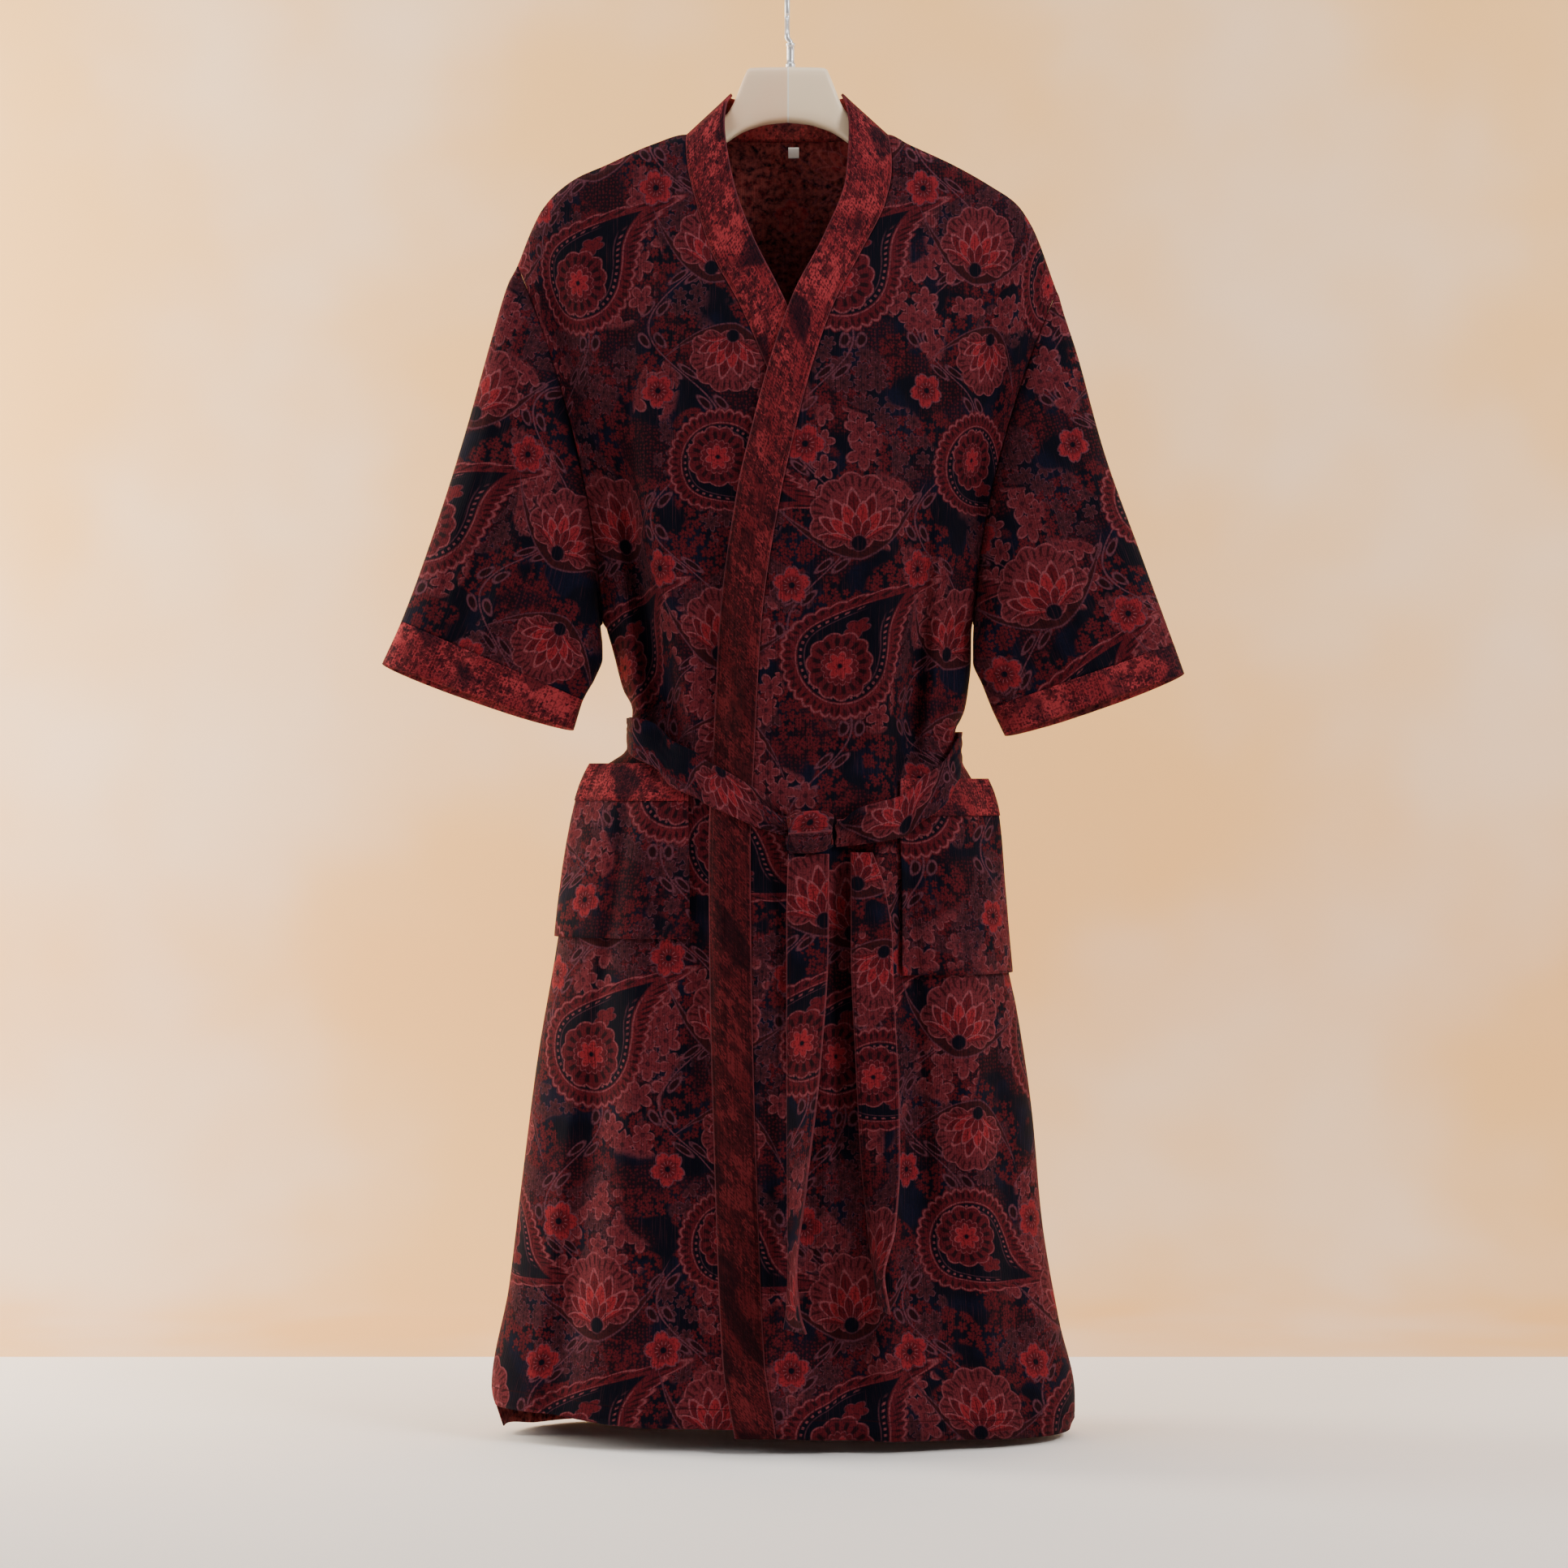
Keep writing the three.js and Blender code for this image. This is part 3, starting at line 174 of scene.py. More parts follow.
DEPTH = table(
    "z front back",
    (-131, 0.2, 45), (-139, 11, 46), (-161, 20, 48), (-197, 31, 50), (-244, 43, 52), (-298, 58, 57),
    (-357, 69, 64), (-416, 76, 69), (-470, 80, 72), (-583, 80, 71), (-640, 74, 65), (-695, 70, 61),
    (-760, 84, 72), (-900, 92, 88), (-1100, 100, 100), (-1250, 106, 107), (-1325, 104, 104),
)
FRONT_DEPTH = reader(DEPTH, "front")
BACK_DEPTH = reader(DEPTH, "back")
NECK_RELEASE = reader(table("z share", (-131, 0), (-139, 0.3), (-161, 0.75), (-200, 1), (-1325, 1)), "share")

# Folds: top x, top z, low x, low z, half width, depth inwards.
FRONT_FOLDS = (
    (-222, -200, -200, -330, 13, 9),
    (-165, -400, -108, -680, 15, 16),
    (-130, -430, -84, -680, 15, -6),
    (-74, -500, -76, -715, 12, 7),
    (128, -560, 108, -725, 17, 15),
    (90, -420, 78, -720, 22, -5),
    (198, -290, 172, -480, 15, 10),
    (52, -780, 58, -1300, 20, 15),
    (108, -780, 122, -1150, 17, 12),
    (84, -800, 92, -1290, 15, -6),
    (-84, -780, -84, -1290, 14, 8),
    (-135, -900, -165, -1290, 30, -8),
    (-165, -960, -215, -1300, 20, 9),
    (160, -900, 180, -1290, 26, -7),
)
BACK_FOLDS = (
    (-150, -210, -168, -560, 20, 13),
    (158, -220, 150, -600, 22, 14),
    (-96, -470, -74, -690, 17, 12),
    (-8, -500, 4, -690, 18, 10),
    (88, -480, 76, -690, 17, 13),
    (-92, -710, -142, -1310, 24, 16),
    (10, -710, -22, -1310, 24, 15),
    (98, -710, 118, -1310, 22, 17),
    (52, -760, 52, -1310, 24, -8),
)

RIGHT_BAND = table(
    "seam_z seam_x edge_x edge_z edge_y",
    (-131, -93, -52, -94, -0.2), (-139, -93.5, -56, -101, -9), (-161, -92, -58, -122, -20),
    (-197, -84, -51, -172, -35), (-244, -70, -34, -225, -47), (-298, -42, -6, -283, -58),
    (-357, -17, 20, -341, -67), (-416, 9, 47, -403, -73), (-470, 26, 65, -463, None),
    (-583, 43, 82, -580, None), (-700, 47, 85, -700, None), (-1309, 47, 85, -1309, None),
)
LEFT_BAND = table(
    "seam_z seam_x edge_x edge_z edge_y",
    (-131, 93, 51, -93, -0.2), (-139, 94.5, 54, -101, -9), (-161, 96, 57, -125, -21),
    (-197, 90, 54, -174, -37), (-244, 68, 34, -229, -50), (-298, 41, 6, -284, -63),
    (-357, 21, -16, -347, -72.5), (-416, 6, -32, -407, -79.5), (-470, -6, -45, -463, None),
    (-583, -23, -61, -580, None), (-712, -30, -68, -711, None), (-785, -33, -71, -785, None),
    (-902, -32, -70, -902, None), (-1121, -26, -64, -1121, None), (-1250, -20, -58, -1250, None),
    (-1316, -9, -47, -1318, None),
)

SLEEVE_COLUMNS = "along outer_x outer_z inner_x inner_z depth forward bow"
RIGHT_SLEEVE = table(
    SLEEVE_COLUMNS,
    (0, 249.2, -252.4, 170.4, -583.1, 22, 0, 15), (0.02, 251.5, -257, 172.8, -586, 24, 0, 15),
    (0.07, 257, -268, 172, -592, 27, 3, 14), (0.24, 271.5, -318, 170.2, -602, 35, 10, 9),
    (0.5, 295, -404, 169.8, -615, 39, 14, 3), (0.78, 327, -505, 176.8, -634, 36, 14, 0),
    (1, 355.5, -582, 188, -654, 32, 12, 0), (1.1, 373, -620.5, 196.5, -681, 33, 12, 0),
)
LEFT_SLEEVE = table(
    SLEEVE_COLUMNS,
    (0, 249.2, -276.4, 171.4, -583.1, 22, 0, 15), (0.02, 251.3, -281, 172.6, -586, 24, 0, 15),
    (0.07, 253.6, -291, 171.6, -592, 27, 3, 14), (0.24, 267.5, -337, 171, -606, 35, 10, 9),
    (0.5, 291, -424, 170.8, -619, 40, 14, 3), (0.78, 325, -519, 179.5, -640, 37, 14, 0),
    (1, 356, -603, 188, -661, 33, 12, 0), (1.1, 365.5, -629.5, 200, -686, 34, 12, 0),
)
# Sleeve folds: face, across, width across, depth, from and to along the sleeve.
SLEEVE_FOLDS = (
    (-1, 0.74, 0.09, 6, 0.1, 0.95),
    (-1, 0.3, 0.1, 4, 0.25, 1),
    (1, 0.66, 0.1, 7, 0.15, 1),
    (1, 0.32, 0.09, 4, 0.3, 0.95),
)


def smooth(low, high, value):
    """From 0 at low to 1 at high, level at both ends. Low may be the larger."""
    t = np.clip((np.asarray(value, float) - low) / (high - low), 0, 1)
    return t * t * (3 - 2 * t)


def mix(a, b, t):
    return a + (b - a) * t


def off_seam(turn, reach):
    """0 at the side seams and 1 over the rest of the body, sooner the larger the reach."""
    return np.clip(np.cos(turn) * reach, 0, 1)


def ridge(value, at, width):
    """A rounded ridge, 1 high, across the cloth."""
    return np.exp(-(((value - at) / width) ** 2))


def unit(vectors):
    return vectors / np.maximum(np.linalg.norm(vectors, axis=-1, keepdims=True), 1e-9)


def squared_off(value, power):
    """A sine or cosine that makes a rounded square of a circle."""
    return np.sign(value) * np.abs(value) ** power


# ---------------------------------------------------------------- the body's surface


def arm_share(level):
    """0 at the neck and 1 from the armpit down."""
    return np.clip((NECK_Z - level) / (NECK_Z - PIT_Z), 0, 1)


def half_width(side, level):
    """From the centre line to the armhole, and below it to the side seam."""
    share = arm_share(level)
    armhole = mix(side.notch, side.pit, share) - ARMHOLE_BOW * 4 * share * (1 - share)
    return np.where(share >= 1, side.outline(level), armhole)


def fold_at(folds, x, z):
    """How far the folds press in here. Each runs from its top to its low point and fades at both."""
    total = np.zeros(np.shape(x))
    for top_x, top_z, low_x, low_z, width, depth in folds:
        length = top_z - low_z
        along = (top_z - z) / length
        line = mix(top_x, low_x, np.clip(along, 0, 1))
        fade = FOLD_FADE / length
        ends = smooth(-fade, fade, along) * (1 - smooth(1 - fade, 1 + fade, along))
        total += depth * ends * ridge(x, line, width)
    return total


def body_point(face, turn, level, lift=0.0, creases=()):
    """Points of the body's outer face, in millimetres. Turn is the angle from the centre line."""
    turn, level = np.broadcast_arrays(np.asarray(turn, float), np.asarray(level, float))
    right = turn < 0
    across = np.sin(np.abs(turn))
    wide = np.where(right, half_width(RIGHT, level), half_width(LEFT, level))
    out = wide * across
    x = np.where(right, -out, out)
    share = arm_share(level)
    edge = ARMHOLE_DEPTH * 2 * np.sqrt(share * (1 - share))
    fullness = np.maximum(np.cos(turn), 0) ** FULLNESS
    reach = FRONT_DEPTH(level) if face < 0 else BACK_DEPTH(level)
    depth = edge + np.maximum(reach - edge, 0) * fullness
    if face > 0:
        neck = NECK_BACK * np.sqrt(np.maximum(1 - (out / NECK_HALF) ** 2, 0))
        depth = mix(neck, depth, NECK_RELEASE(level))
    folds = FRONT_FOLDS if face < 0 else BACK_FOLDS
    slack = off_seam(turn, FOLDS_FROM_SEAM) * smooth(-150, -230, level)
    depth = depth - FOLD_DEPTH * fold_at(folds, x, level) * slack
    if len(creases):
        depth = depth - CREASE_DEPTH * fold_at(creases, x, level) * off_seam(turn, CREASES_FROM_SEAM)
    droop_r = RIGHT.shoulder_z(across * RIGHT.notch) - NECK_Z
    droop_l = LEFT.shoulder_z(across * LEFT.notch) - NECK_Z
    z = level + np.where(right, droop_r, droop_l) * (1 - share)
    return np.stack([x, face * (np.maximum(depth, 0) + lift), z], -1)


def body_normal(face, turn, level):
    """The way out of the body, from its slopes across and down."""
    reach = 0.015
    drop = 0.5
    low = np.maximum(turn - reach, -RIGHT_ANGLE)
    high = np.minimum(turn + reach, RIGHT_ANGLE)
    across = body_point(face, high, level) - body_point(face, low, level)
    down = body_point(face, turn, level - drop) - body_point(face, turn, level + drop)
    return unit(np.cross(across, down) * face)


def level_normal(face, turn, level):
    """The way out of the body with no rise or fall, for what goes round it."""
    normal = body_normal(face, turn, level)
    normal[..., 2] = 0
    return unit(normal)


def turn_at(x, level):
    """The turn at which the body lies x from its centre line."""
    x, level = np.broadcast_arrays(np.asarray(x, float), np.asarray(level, float))
    wide = np.where(x < 0, half_width(RIGHT, level), half_width(LEFT, level))
    return np.sign(x) * np.arcsin(np.clip(np.abs(x) / wide, 0, 1))


def lap_lift(x, level):
    """The left front stands off to lie over the right one."""
    return LAP_LIFT * (1 - smooth(95, 160, x)) * smooth(-215, -300, level)


def under_lift(x, level):
    """The right front drops in where the left one covers it."""
    return -UNDER_DROP * smooth(-10, 35, x) * smooth(-400, -470, level)


def hem_left(x):
    """The left front's hem falls towards its side seam."""
    return mix(-1316, -1325, np.clip((x + 50) / 300, 0, 1))


def hem_right(x):
    """The right front's hem lifts towards its side seam and shows the inside of the back there."""
    return HEM_RIGHT + HEM_LIFT * smooth(-120, -236, x)


def body_level(v, hem):
    """The level of a row, from 0 at the neck to 1 at the hem, with rows close at the shoulder and armpit."""
    arm = mix(NECK_Z, PIT_Z, (1 - np.cos(np.pi * np.clip(v / ROWS_TO_PIT, 0, 1))) / 2)
    s = np.clip((v - ROWS_TO_PIT) / (1 - ROWS_TO_PIT), 0, 1)
    skirt = mix(PIT_Z, hem, 0.75 * s + 0.25 * s * s)
    return np.where(v < ROWS_TO_PIT, arm, skirt)


# ---------------------------------------------------------------- small creases, over the main folds

# The same columns as the folds: top x, top z, low x, low z, half width, depth inwards.
FRONT_CREASES = (
    (-180, -370, -150, -640, 12, 8.0), (-150, -400, -116, -700, 9, 7.5), (172, -400, 150, -650, 12, 8.0),
    (128, -480, 112, -715, 9, 6.0), (-66, -560, -62, -715, 7, 3.5), (-150, -240, -142, -420, 11, 3.0),
    (-205, -330, -168, -560, 8, 3.0), (-186, -300, -158, -470, 7, -2.0), (-150, -470, -126, -660, 7, 2.6),
    (-108, -330, -96, -520, 9, 1.8), (-60, -430, -52, -690, 8, 2.4), (-28, -520, -40, -700, 6, -1.6),
    (-130, -230, -112, -380, 14, 1.6), (-176, -215, -160, -300, 9, 2.2), (-118, -600, -98, -700, 6, 2.4),
    (146, -300, 138, -520, 12, 2.0), (116, -380, 104, -600, 9, 2.2), (148, -600, 130, -720, 7, 3.0),
    (60, -560, 66, -715, 8, 2.6), (34, -600, 44, -720, 6, 2.2), (86, -600, 90, -715, 6, -1.8),
    (186, -240, 170, -380, 9, 2.4), (210, -230, 196, -330, 7, -2.0), (20, -480, 16, -620, 9, 1.4),
    (-112, -760, -128, -1100, 9, 2.6), (-60, -760, -58, -1020, 7, -1.8), (-140, -740, -172, -940, 8, 2.4),
    (-100, -980, -112, -1300, 10, 3.4), (-190, -1000, -232, -1300, 9, -2.2), (-40, -860, -34, -1310, 8, 1.6),
    (24, -800, 20, -1200, 9, 3.6), (0, -900, -6, -1310, 9, 1.8), (40, -960, 36, -1310, 7, -1.8),
    (72, -800, 76, -1240, 8, 4.0), (132, -790, 146, -1080, 8, 2.2), (150, -1000, 166, -1310, 10, 2.4),
    (104, -1100, 112, -1310, 8, 1.8), (186, -960, 214, -1310, 11, 2.0), (-8, -780, 2, -960, 7, 2.0),
)
BACK_CREASES = (
    (-60, -190, -74, -420, 14, 1.8), (64, -200, 70, -430, 13, 1.8), (-190, -260, -176, -520, 9, 2.6),
    (192, -280, 172, -540, 9, 2.4), (-120, -480, -108, -680, 8, 2.4), (-40, -520, -34, -690, 8, -2.0),
    (42, -520, 36, -690, 8, 2.2), (120, -500, 104, -690, 8, 2.6), (-60, -720, -84, -1100, 10, 2.6),
    (-120, -760, -190, -1310, 12, 2.4), (-24, -720, -62, -1300, 11, -2.2), (30, -720, 22, -1180, 10, 2.4),
    (76, -720, 84, -1310, 10, 2.6), (130, -740, 176, -1310, 13, 2.4), (160, -900, 220, -1310, 12, -2.0),
    (0, -960, 8, -1310, 10, 2.0), (-150, -900, -228, -1310, 10, 1.8),
)


def hem_wave(face, turn, x, level, hem):
    """The hem rolls in and out a little as it hangs."""
    near = smooth(140, 0, level - hem)
    wave = np.sin(x / 31 + 0.7 * face) + 0.6 * np.sin(x / 17.3 + 1.9)
    return HEM_ROLL * near * wave * off_seam(turn, FOLDS_FROM_SEAM) * 0.5


def panel_surface(side, band, hem, lift):
    """The surface of a front panel, from its collar seam at u 0 to its side seam at u 1."""
    seam_x = reader(band, "seam_x", "seam_z")

    def place(u, v):
        base = body_level(v, HEM_RIGHT)
        start = turn_at(seam_x(base), base)
        turn = mix(start, side.sign * RIGHT_ANGLE, u)
        x = half_width(side, base) * np.sin(turn)
        level = base + (hem(x) - HEM_RIGHT) * np.clip((HEM_STARTS - base) / (HEM_STARTS - HEM_RIGHT), 0, 1)
        points = body_point(-1, turn, level, lift(x, level), FRONT_CREASES)
        points[..., 1] -= hem_wave(-1, turn, x, level, HEM_RIGHT)
        return points

    return place


def seam_frame(band, surface, v):
    """Points along a panel's collar seam, and the way out of the cloth there."""
    base = body_level(v, HEM_RIGHT)
    seam = surface(np.zeros_like(v), v)
    turn = turn_at(reader(band, "seam_x", "seam_z")(base), base)
    normal = body_normal(-1, turn, np.minimum(base, NECK_Z - 1))
    return base, seam, normal


def band_surface(band, surface, lift):
    """The surface of a front collar band, from its seam at u 0 to its free edge at u 1."""
    edge_x = reader(band, "edge_x", "seam_z")
    edge_z = reader(band, "edge_z", "seam_z")
    edge_y = reader(band, "edge_y", "seam_z")
    stand_until = min(z for z, y in zip(band["seam_z"], band["edge_y"]) if y is not None)

    def place(u, v):
        base, seam, normal = seam_frame(band, surface, v)
        seam = seam + normal * BAND_PROUD * smooth(-131, -150, base)[..., None]
        z = np.where(base > NECK_Z - 1, NECK_Z, seam[..., 2])
        x = edge_x(z)
        height = np.where(v > 0.999, z, edge_z(z))
        on_body = body_point(-1, turn_at(x, height), height, lift(x, height) + BAND_PROUD, FRONT_CREASES)
        stand = smooth(stand_until - 60, stand_until + 20, z)
        y = np.where(z > stand_until, edge_y(z), mix(on_body[..., 1], edge_y(z), stand))
        rim = np.stack([x, y, height], -1)
        here = mix(seam, rim, u[..., None])
        laid = body_point(
            -1, turn_at(here[..., 0], here[..., 2]), here[..., 2],
            lift(here[..., 0], here[..., 2]) + BAND_PROUD, FRONT_CREASES,
        )
        low = np.minimum(here[..., 1], laid[..., 1])
        here[..., 1] = mix(here[..., 1], low, smooth(-235, -262, z) * smooth(0, 0.06, u))
        here[..., 1] -= BAND_CROWN * 4 * u * (1 - u) * smooth(-131, -160, z)
        return here

    return place


BACK_BAND_RISE = 38
BACK_BAND_LEAN = 3
BACK_BAND_TAPER = 0.86
NECK_TIPS = table("at x", (-1, -52), (0, 0), (1, 51))


def back_band_surface(u, v):
    """The collar behind the neck, from its seam at v 0 up to its free edge."""
    angle = mix(-RIGHT_ANGLE, RIGHT_ANGLE, u)
    seam_x = NECK_HALF * np.sin(angle)
    turn = np.sign(seam_x) * np.arcsin(np.abs(seam_x) / RIGHT.notch)
    seam = body_point(1, turn, NECK_Z + 0 * u)
    share = seam_x / NECK_HALF
    round_off = np.sqrt(np.maximum(1 - share**2, 0))
    x = mix(reader(NECK_TIPS, "x")(share), seam_x * BACK_BAND_TAPER, round_off * 0.6)
    back = round_off * (NECK_BACK + BACK_BAND_LEAN)
    rim = np.stack([x, back, NECK_Z + BACK_BAND_RISE + 0 * u], -1)
    here = mix(seam, rim, v[..., None])
    here[..., 1] += BAND_CROWN * 4 * v * (1 - v) * round_off
    return here


# Creases of a sleeve: face, across, width across, depth, from and to along it.
SLEEVE_CREASES = (
    (-1, 0.86, 0.035, 3.4, 0.05, 0.7), (-1, 0.62, 0.03, 2.6, 0.3, 1.0), (-1, 0.5, 0.04, 2.2, 0.05, 0.6),
    (-1, 0.16, 0.035, 2.4, 0.1, 0.8), (-1, 0.42, 0.03, -1.8, 0.5, 1.1), (1, 0.82, 0.04, 3.0, 0.1, 0.8),
    (1, 0.5, 0.035, 2.6, 0.2, 1.0), (1, 0.2, 0.04, 2.2, 0.1, 0.9),
)


def sleeve_point(side, source, along, turned, proud=0.0):
    """Rings of a sleeve. Turned runs from the underarm, behind, over the outer edge, and back in front."""
    read = {name: reader(source, name)(along) for name in source if name != "along"}
    face = np.where(np.sin(turned) >= 0, -1, 1)
    across = (1 - np.cos(turned)) / 2
    out = mix(read["outer_x"], read["inner_x"], across) - read["bow"] * 4 * across * (1 - across)
    z = mix(read["outer_z"], read["inner_z"], across)
    swell = np.abs(np.sin(turned))
    depth = read["depth"] * swell
    for fold_face, at, width, deep, start, end in SLEEVE_FOLDS + SLEEVE_CREASES:
        middle = smooth(start, start + 0.2, along) * (1 - smooth(end, end + 0.3, along))
        pressed = deep * middle * (ridge(across, at, width) * swell)
        depth = depth - np.where(face == fold_face, pressed, 0)
    gathered = (1 - smooth(0.0, 0.09, along)) * smooth(0, 0.03, along)
    depth = depth + GATHER * np.sin(across * GATHER_TURNS) * gathered
    hang = np.where(face > 0, CUFF_DROP * smooth(0.9, CUFF_END, along) * swell, 0)
    return np.stack([side.sign * out, face * (depth + proud) - read["forward"], z - hang], -1)


def sleeve_surface(side, source, low, high, proud=0.0):
    """A stretch of a sleeve, from low to high along it."""

    def place(u, v):
        return sleeve_point(side, source, mix(low, high, v), mix(-math.pi, math.pi, u), proud)

    return place


POCKET_PRESS = table(
    "across press gape",
    (0, 0, 0), (0.15, 0.7, 0), (0.5, 1, 0), (0.72, 1, 0.22), (0.88, 0.9, 1), (0.96, 0.6, 0.8), (1, 0, 0),
)
RIGHT_POCKET = {
    "side": RIGHT, "inner": 89, "top": -712, "seam": -746, "bottom": -871, "gape": 11, "press": 3.4,
}
LEFT_POCKET = {
    "side": LEFT, "inner": 98, "top": -726, "seam": -760, "bottom": -904, "gape": 9, "press": 3,
}


def pocket_surface(pocket, low, high, cloth):
    """A stretch of a pocket's height: it stands off the body, and gapes at its mouth beside the seam."""
    side = pocket["side"]
    press_at = reader(POCKET_PRESS, "press")
    gape_at = reader(POCKET_PRESS, "gape")

    def place(u, v):
        level = mix(high, low, v)
        inner = np.abs(turn_at(pocket["inner"] * side.sign, level))
        turn = side.sign * mix(inner, RIGHT_ANGLE, u)
        rise = np.clip((level - pocket["bottom"]) / (pocket["top"] - pocket["bottom"]), 0, 1)
        start = body_point(-1, turn, level, 0.0, FRONT_CREASES)
        pressed = pocket["press"] * press_at(u) * np.sqrt(rise)
        stand = POCKET_GAP + pressed + pocket["gape"] * gape_at(u) * rise
        if side is LEFT:
            stand = stand + lap_lift(start[..., 0], level)
        return start + level_normal(-1, turn, level) * (stand + cloth)[..., None]

    return place


BELT_RIGHT = table(
    "out z half off",
    (0, -765, 12, 9), (22, -752, 17, 9), (59, -729, 20, 9.5), (94, -709, 21, 12), (130, -689, 18.5, 12.5),
    (144, -685, 15, 4),
)
BELT_LEFT = table(
    "out z half off",
    (41, -775, 12, 10), (60, -768, 17, 11), (84, -760, 19, 13.5), (104, -747, 20, 16), (124, -731, 20, 16),
    (146, -708, 18.5, 12.5), (156, -698, 15, 4),
)
BELT_BACK = table(
    "x z off", (-164, -685, 4), (-90, -688, 6.4), (0, -691, 6.4), (90, -694, 6.4), (164, -698, 4),
)
BELT_BACK_HALF = 15
BELT_BACK_REACH = 165
BELT_LEAST_OFF = 3
# Lengthwise creases of the belt: where across its width, how wide, how deep, and how they drift.
BELT_CREASES = ((-0.45, 0.16, 1.3, 0.5), (0.1, 0.2, 1.0, -0.4), (0.55, 0.14, 1.2, 0.2))


def belt_crease(across, along):
    total = 0
    for at, width, deep, drift in BELT_CREASES:
        total = total + deep * ridge(across - at, drift * (along - 0.5), width)
    return total


def round_body(face, turn, middle, rise, off):
    """A belt's points: its middle line lies on the body, and its edges stay upright at the sides."""
    centre = body_point(face, turn, middle)
    level = middle + rise
    laid = body_point(face, turn_at(centre[..., 0], level), level)
    y = mix(centre[..., 1], laid[..., 1], off_seam(turn, BELT_FROM_SEAM))
    return np.stack([centre[..., 0], y, level], -1) + level_normal(face, turn, middle) * off[..., None]


def belt_surface(side, source, gather):
    """The belt in front of one hip, from the knot, where it is gathered, to the side."""
    z_at = reader(source, "z")
    half_at = reader(source, "half")
    off_at = reader(source, "off")
    waist = source["z"][-1]
    start_out = source["out"][0]
    start = math.asin(start_out / float(half_width(side, z_at(start_out))))

    def place(u, v):
        turn = mix(start, RIGHT_ANGLE, u)
        out = half_width(side, waist) * np.sin(turn)
        across = 1 - 2 * v
        pinch = gather * (1 - smooth(0, 0.28, u))
        off = off_at(out) - belt_crease(across, u) * (1 + pinch) - 1.2 * (across**2) * smooth(0.02, 0.2, u)
        off = np.maximum(off, BELT_LEAST_OFF)
        return round_body(-1, side.sign * turn, z_at(out), half_at(out) * across, off)

    return place


def belt_back_surface(u, v):
    turn = mix(-RIGHT_ANGLE, RIGHT_ANGLE, u)
    x = BELT_BACK_REACH * np.sin(turn)
    across = 1 - 2 * v
    off = reader(BELT_BACK, "off")(x) - 0.6 * belt_crease(across, u)
    return round_body(1, turn, reader(BELT_BACK, "z")(x), BELT_BACK_HALF * across, off)


KNOT = {"x": 20.5, "z": -774, "half_width": 19.6, "half_depth": 11, "half_height": 19, "off": 18}
KNOT_SQUARE = 0.6
# Creases of the knot: where across it, how wide, how deep.
KNOT_CREASES = ((0.28, 0.07, 2.2), (0.52, 0.09, -1.2), (0.74, 0.08, 2.4))


def knot_surface(u, v):
    """The wrap of the knot: a turn of the belt round itself. U runs round it and v from side to side."""
    centre = float(body_point(-1, turn_at(KNOT["x"], KNOT["z"]), KNOT["z"])[..., 1]) - KNOT["off"]
    angle = mix(0, FULL_TURN, u)
    pinch = 1 - 0.22 * np.abs(2 * v - 1) ** 3
    crease = sum(deep * ridge(v, at, width) for at, width, deep in KNOT_CREASES)
    front = np.clip(np.cos(angle), 0, 1)
    lean = 2.5 * (v - 0.5)
    y = centre - (KNOT["half_depth"] * squared_off(np.cos(angle), KNOT_SQUARE) - crease * front) * pinch
    z = KNOT["z"] + KNOT["half_height"] * squared_off(np.sin(angle), KNOT_SQUARE) * pinch + lean
    x = KNOT["x"] + KNOT["half_width"] * (2 * v - 1) + 1.5 * np.sin(2 * angle)
    return np.stack([x, y, z], -1)


TAIL_WIDTH = 38
TAIL_A = table(
    "z left_x seen off",
    (-793.6, 0.5, 37, 18), (-860, -1, 38, 12), (-980, -1, 30, 11), (-1090, -0.5, 16, 10), (-1165, 0, 7, 9),
    (-1200, -1.5, 12, 9), (-1218, -4, 20, 9),
)
TAIL_B = table(
    "z left_x seen off",
    (-792.5, 57, 20, 10), (-825, 57, 31, 10), (-880, 57, 38, 10), (-980, 61, 38, 10), (-1060, 65, 35, 10),
    (-1125, 71, 24, 9), (-1172, 77, 8, 8), (-1200, 81, 9, 8),
)


def tail_surface(source, ripple):
    """A hanging end of the belt. Where less of its width is seen, the rest turns away from the front."""
    heights = source["z"]
    top = heights[-1]
    bottom = heights[0]
    second = heights[-2]

    def place(u, v):
        z = mix(top, bottom, v)
        seen = reader(source, "seen")(z)
        turned = np.sqrt(np.maximum(TAIL_WIDTH**2 - seen**2, 0)) * smooth(second, second - 60, z)
        left = reader(source, "left_x")(z)
        x = left + seen * u
        lay = body_point(-1, turn_at(left + seen / 2, z), z)[..., 1]
        curl = ripple * np.sin(u * math.pi) * np.sin(v * 9.2)
        y = lay - reader(source, "off")(z) - turned * u + curl - belt_crease(2 * u - 1, v) * 0.5
        return np.stack([x + curl * turned / TAIL_WIDTH, y, z], -1)

    return place


TAG = {"from_x": 1, "to_x": 11, "top": -136, "bottom": -146, "off": 3.9, "bow": 0.5}


def tag_surface(u, v):
    """The neck tag, bowed a little off the inside of the back."""
    x = mix(TAG["from_x"], TAG["to_x"], u)
    level = mix(TAG["top"], TAG["bottom"], v)
    behind = body_point(1, turn_at(x, level), level)
    return np.stack([x, behind[..., 1] - TAG["off"] - TAG["bow"] * np.sin(math.pi * v), level], -1)


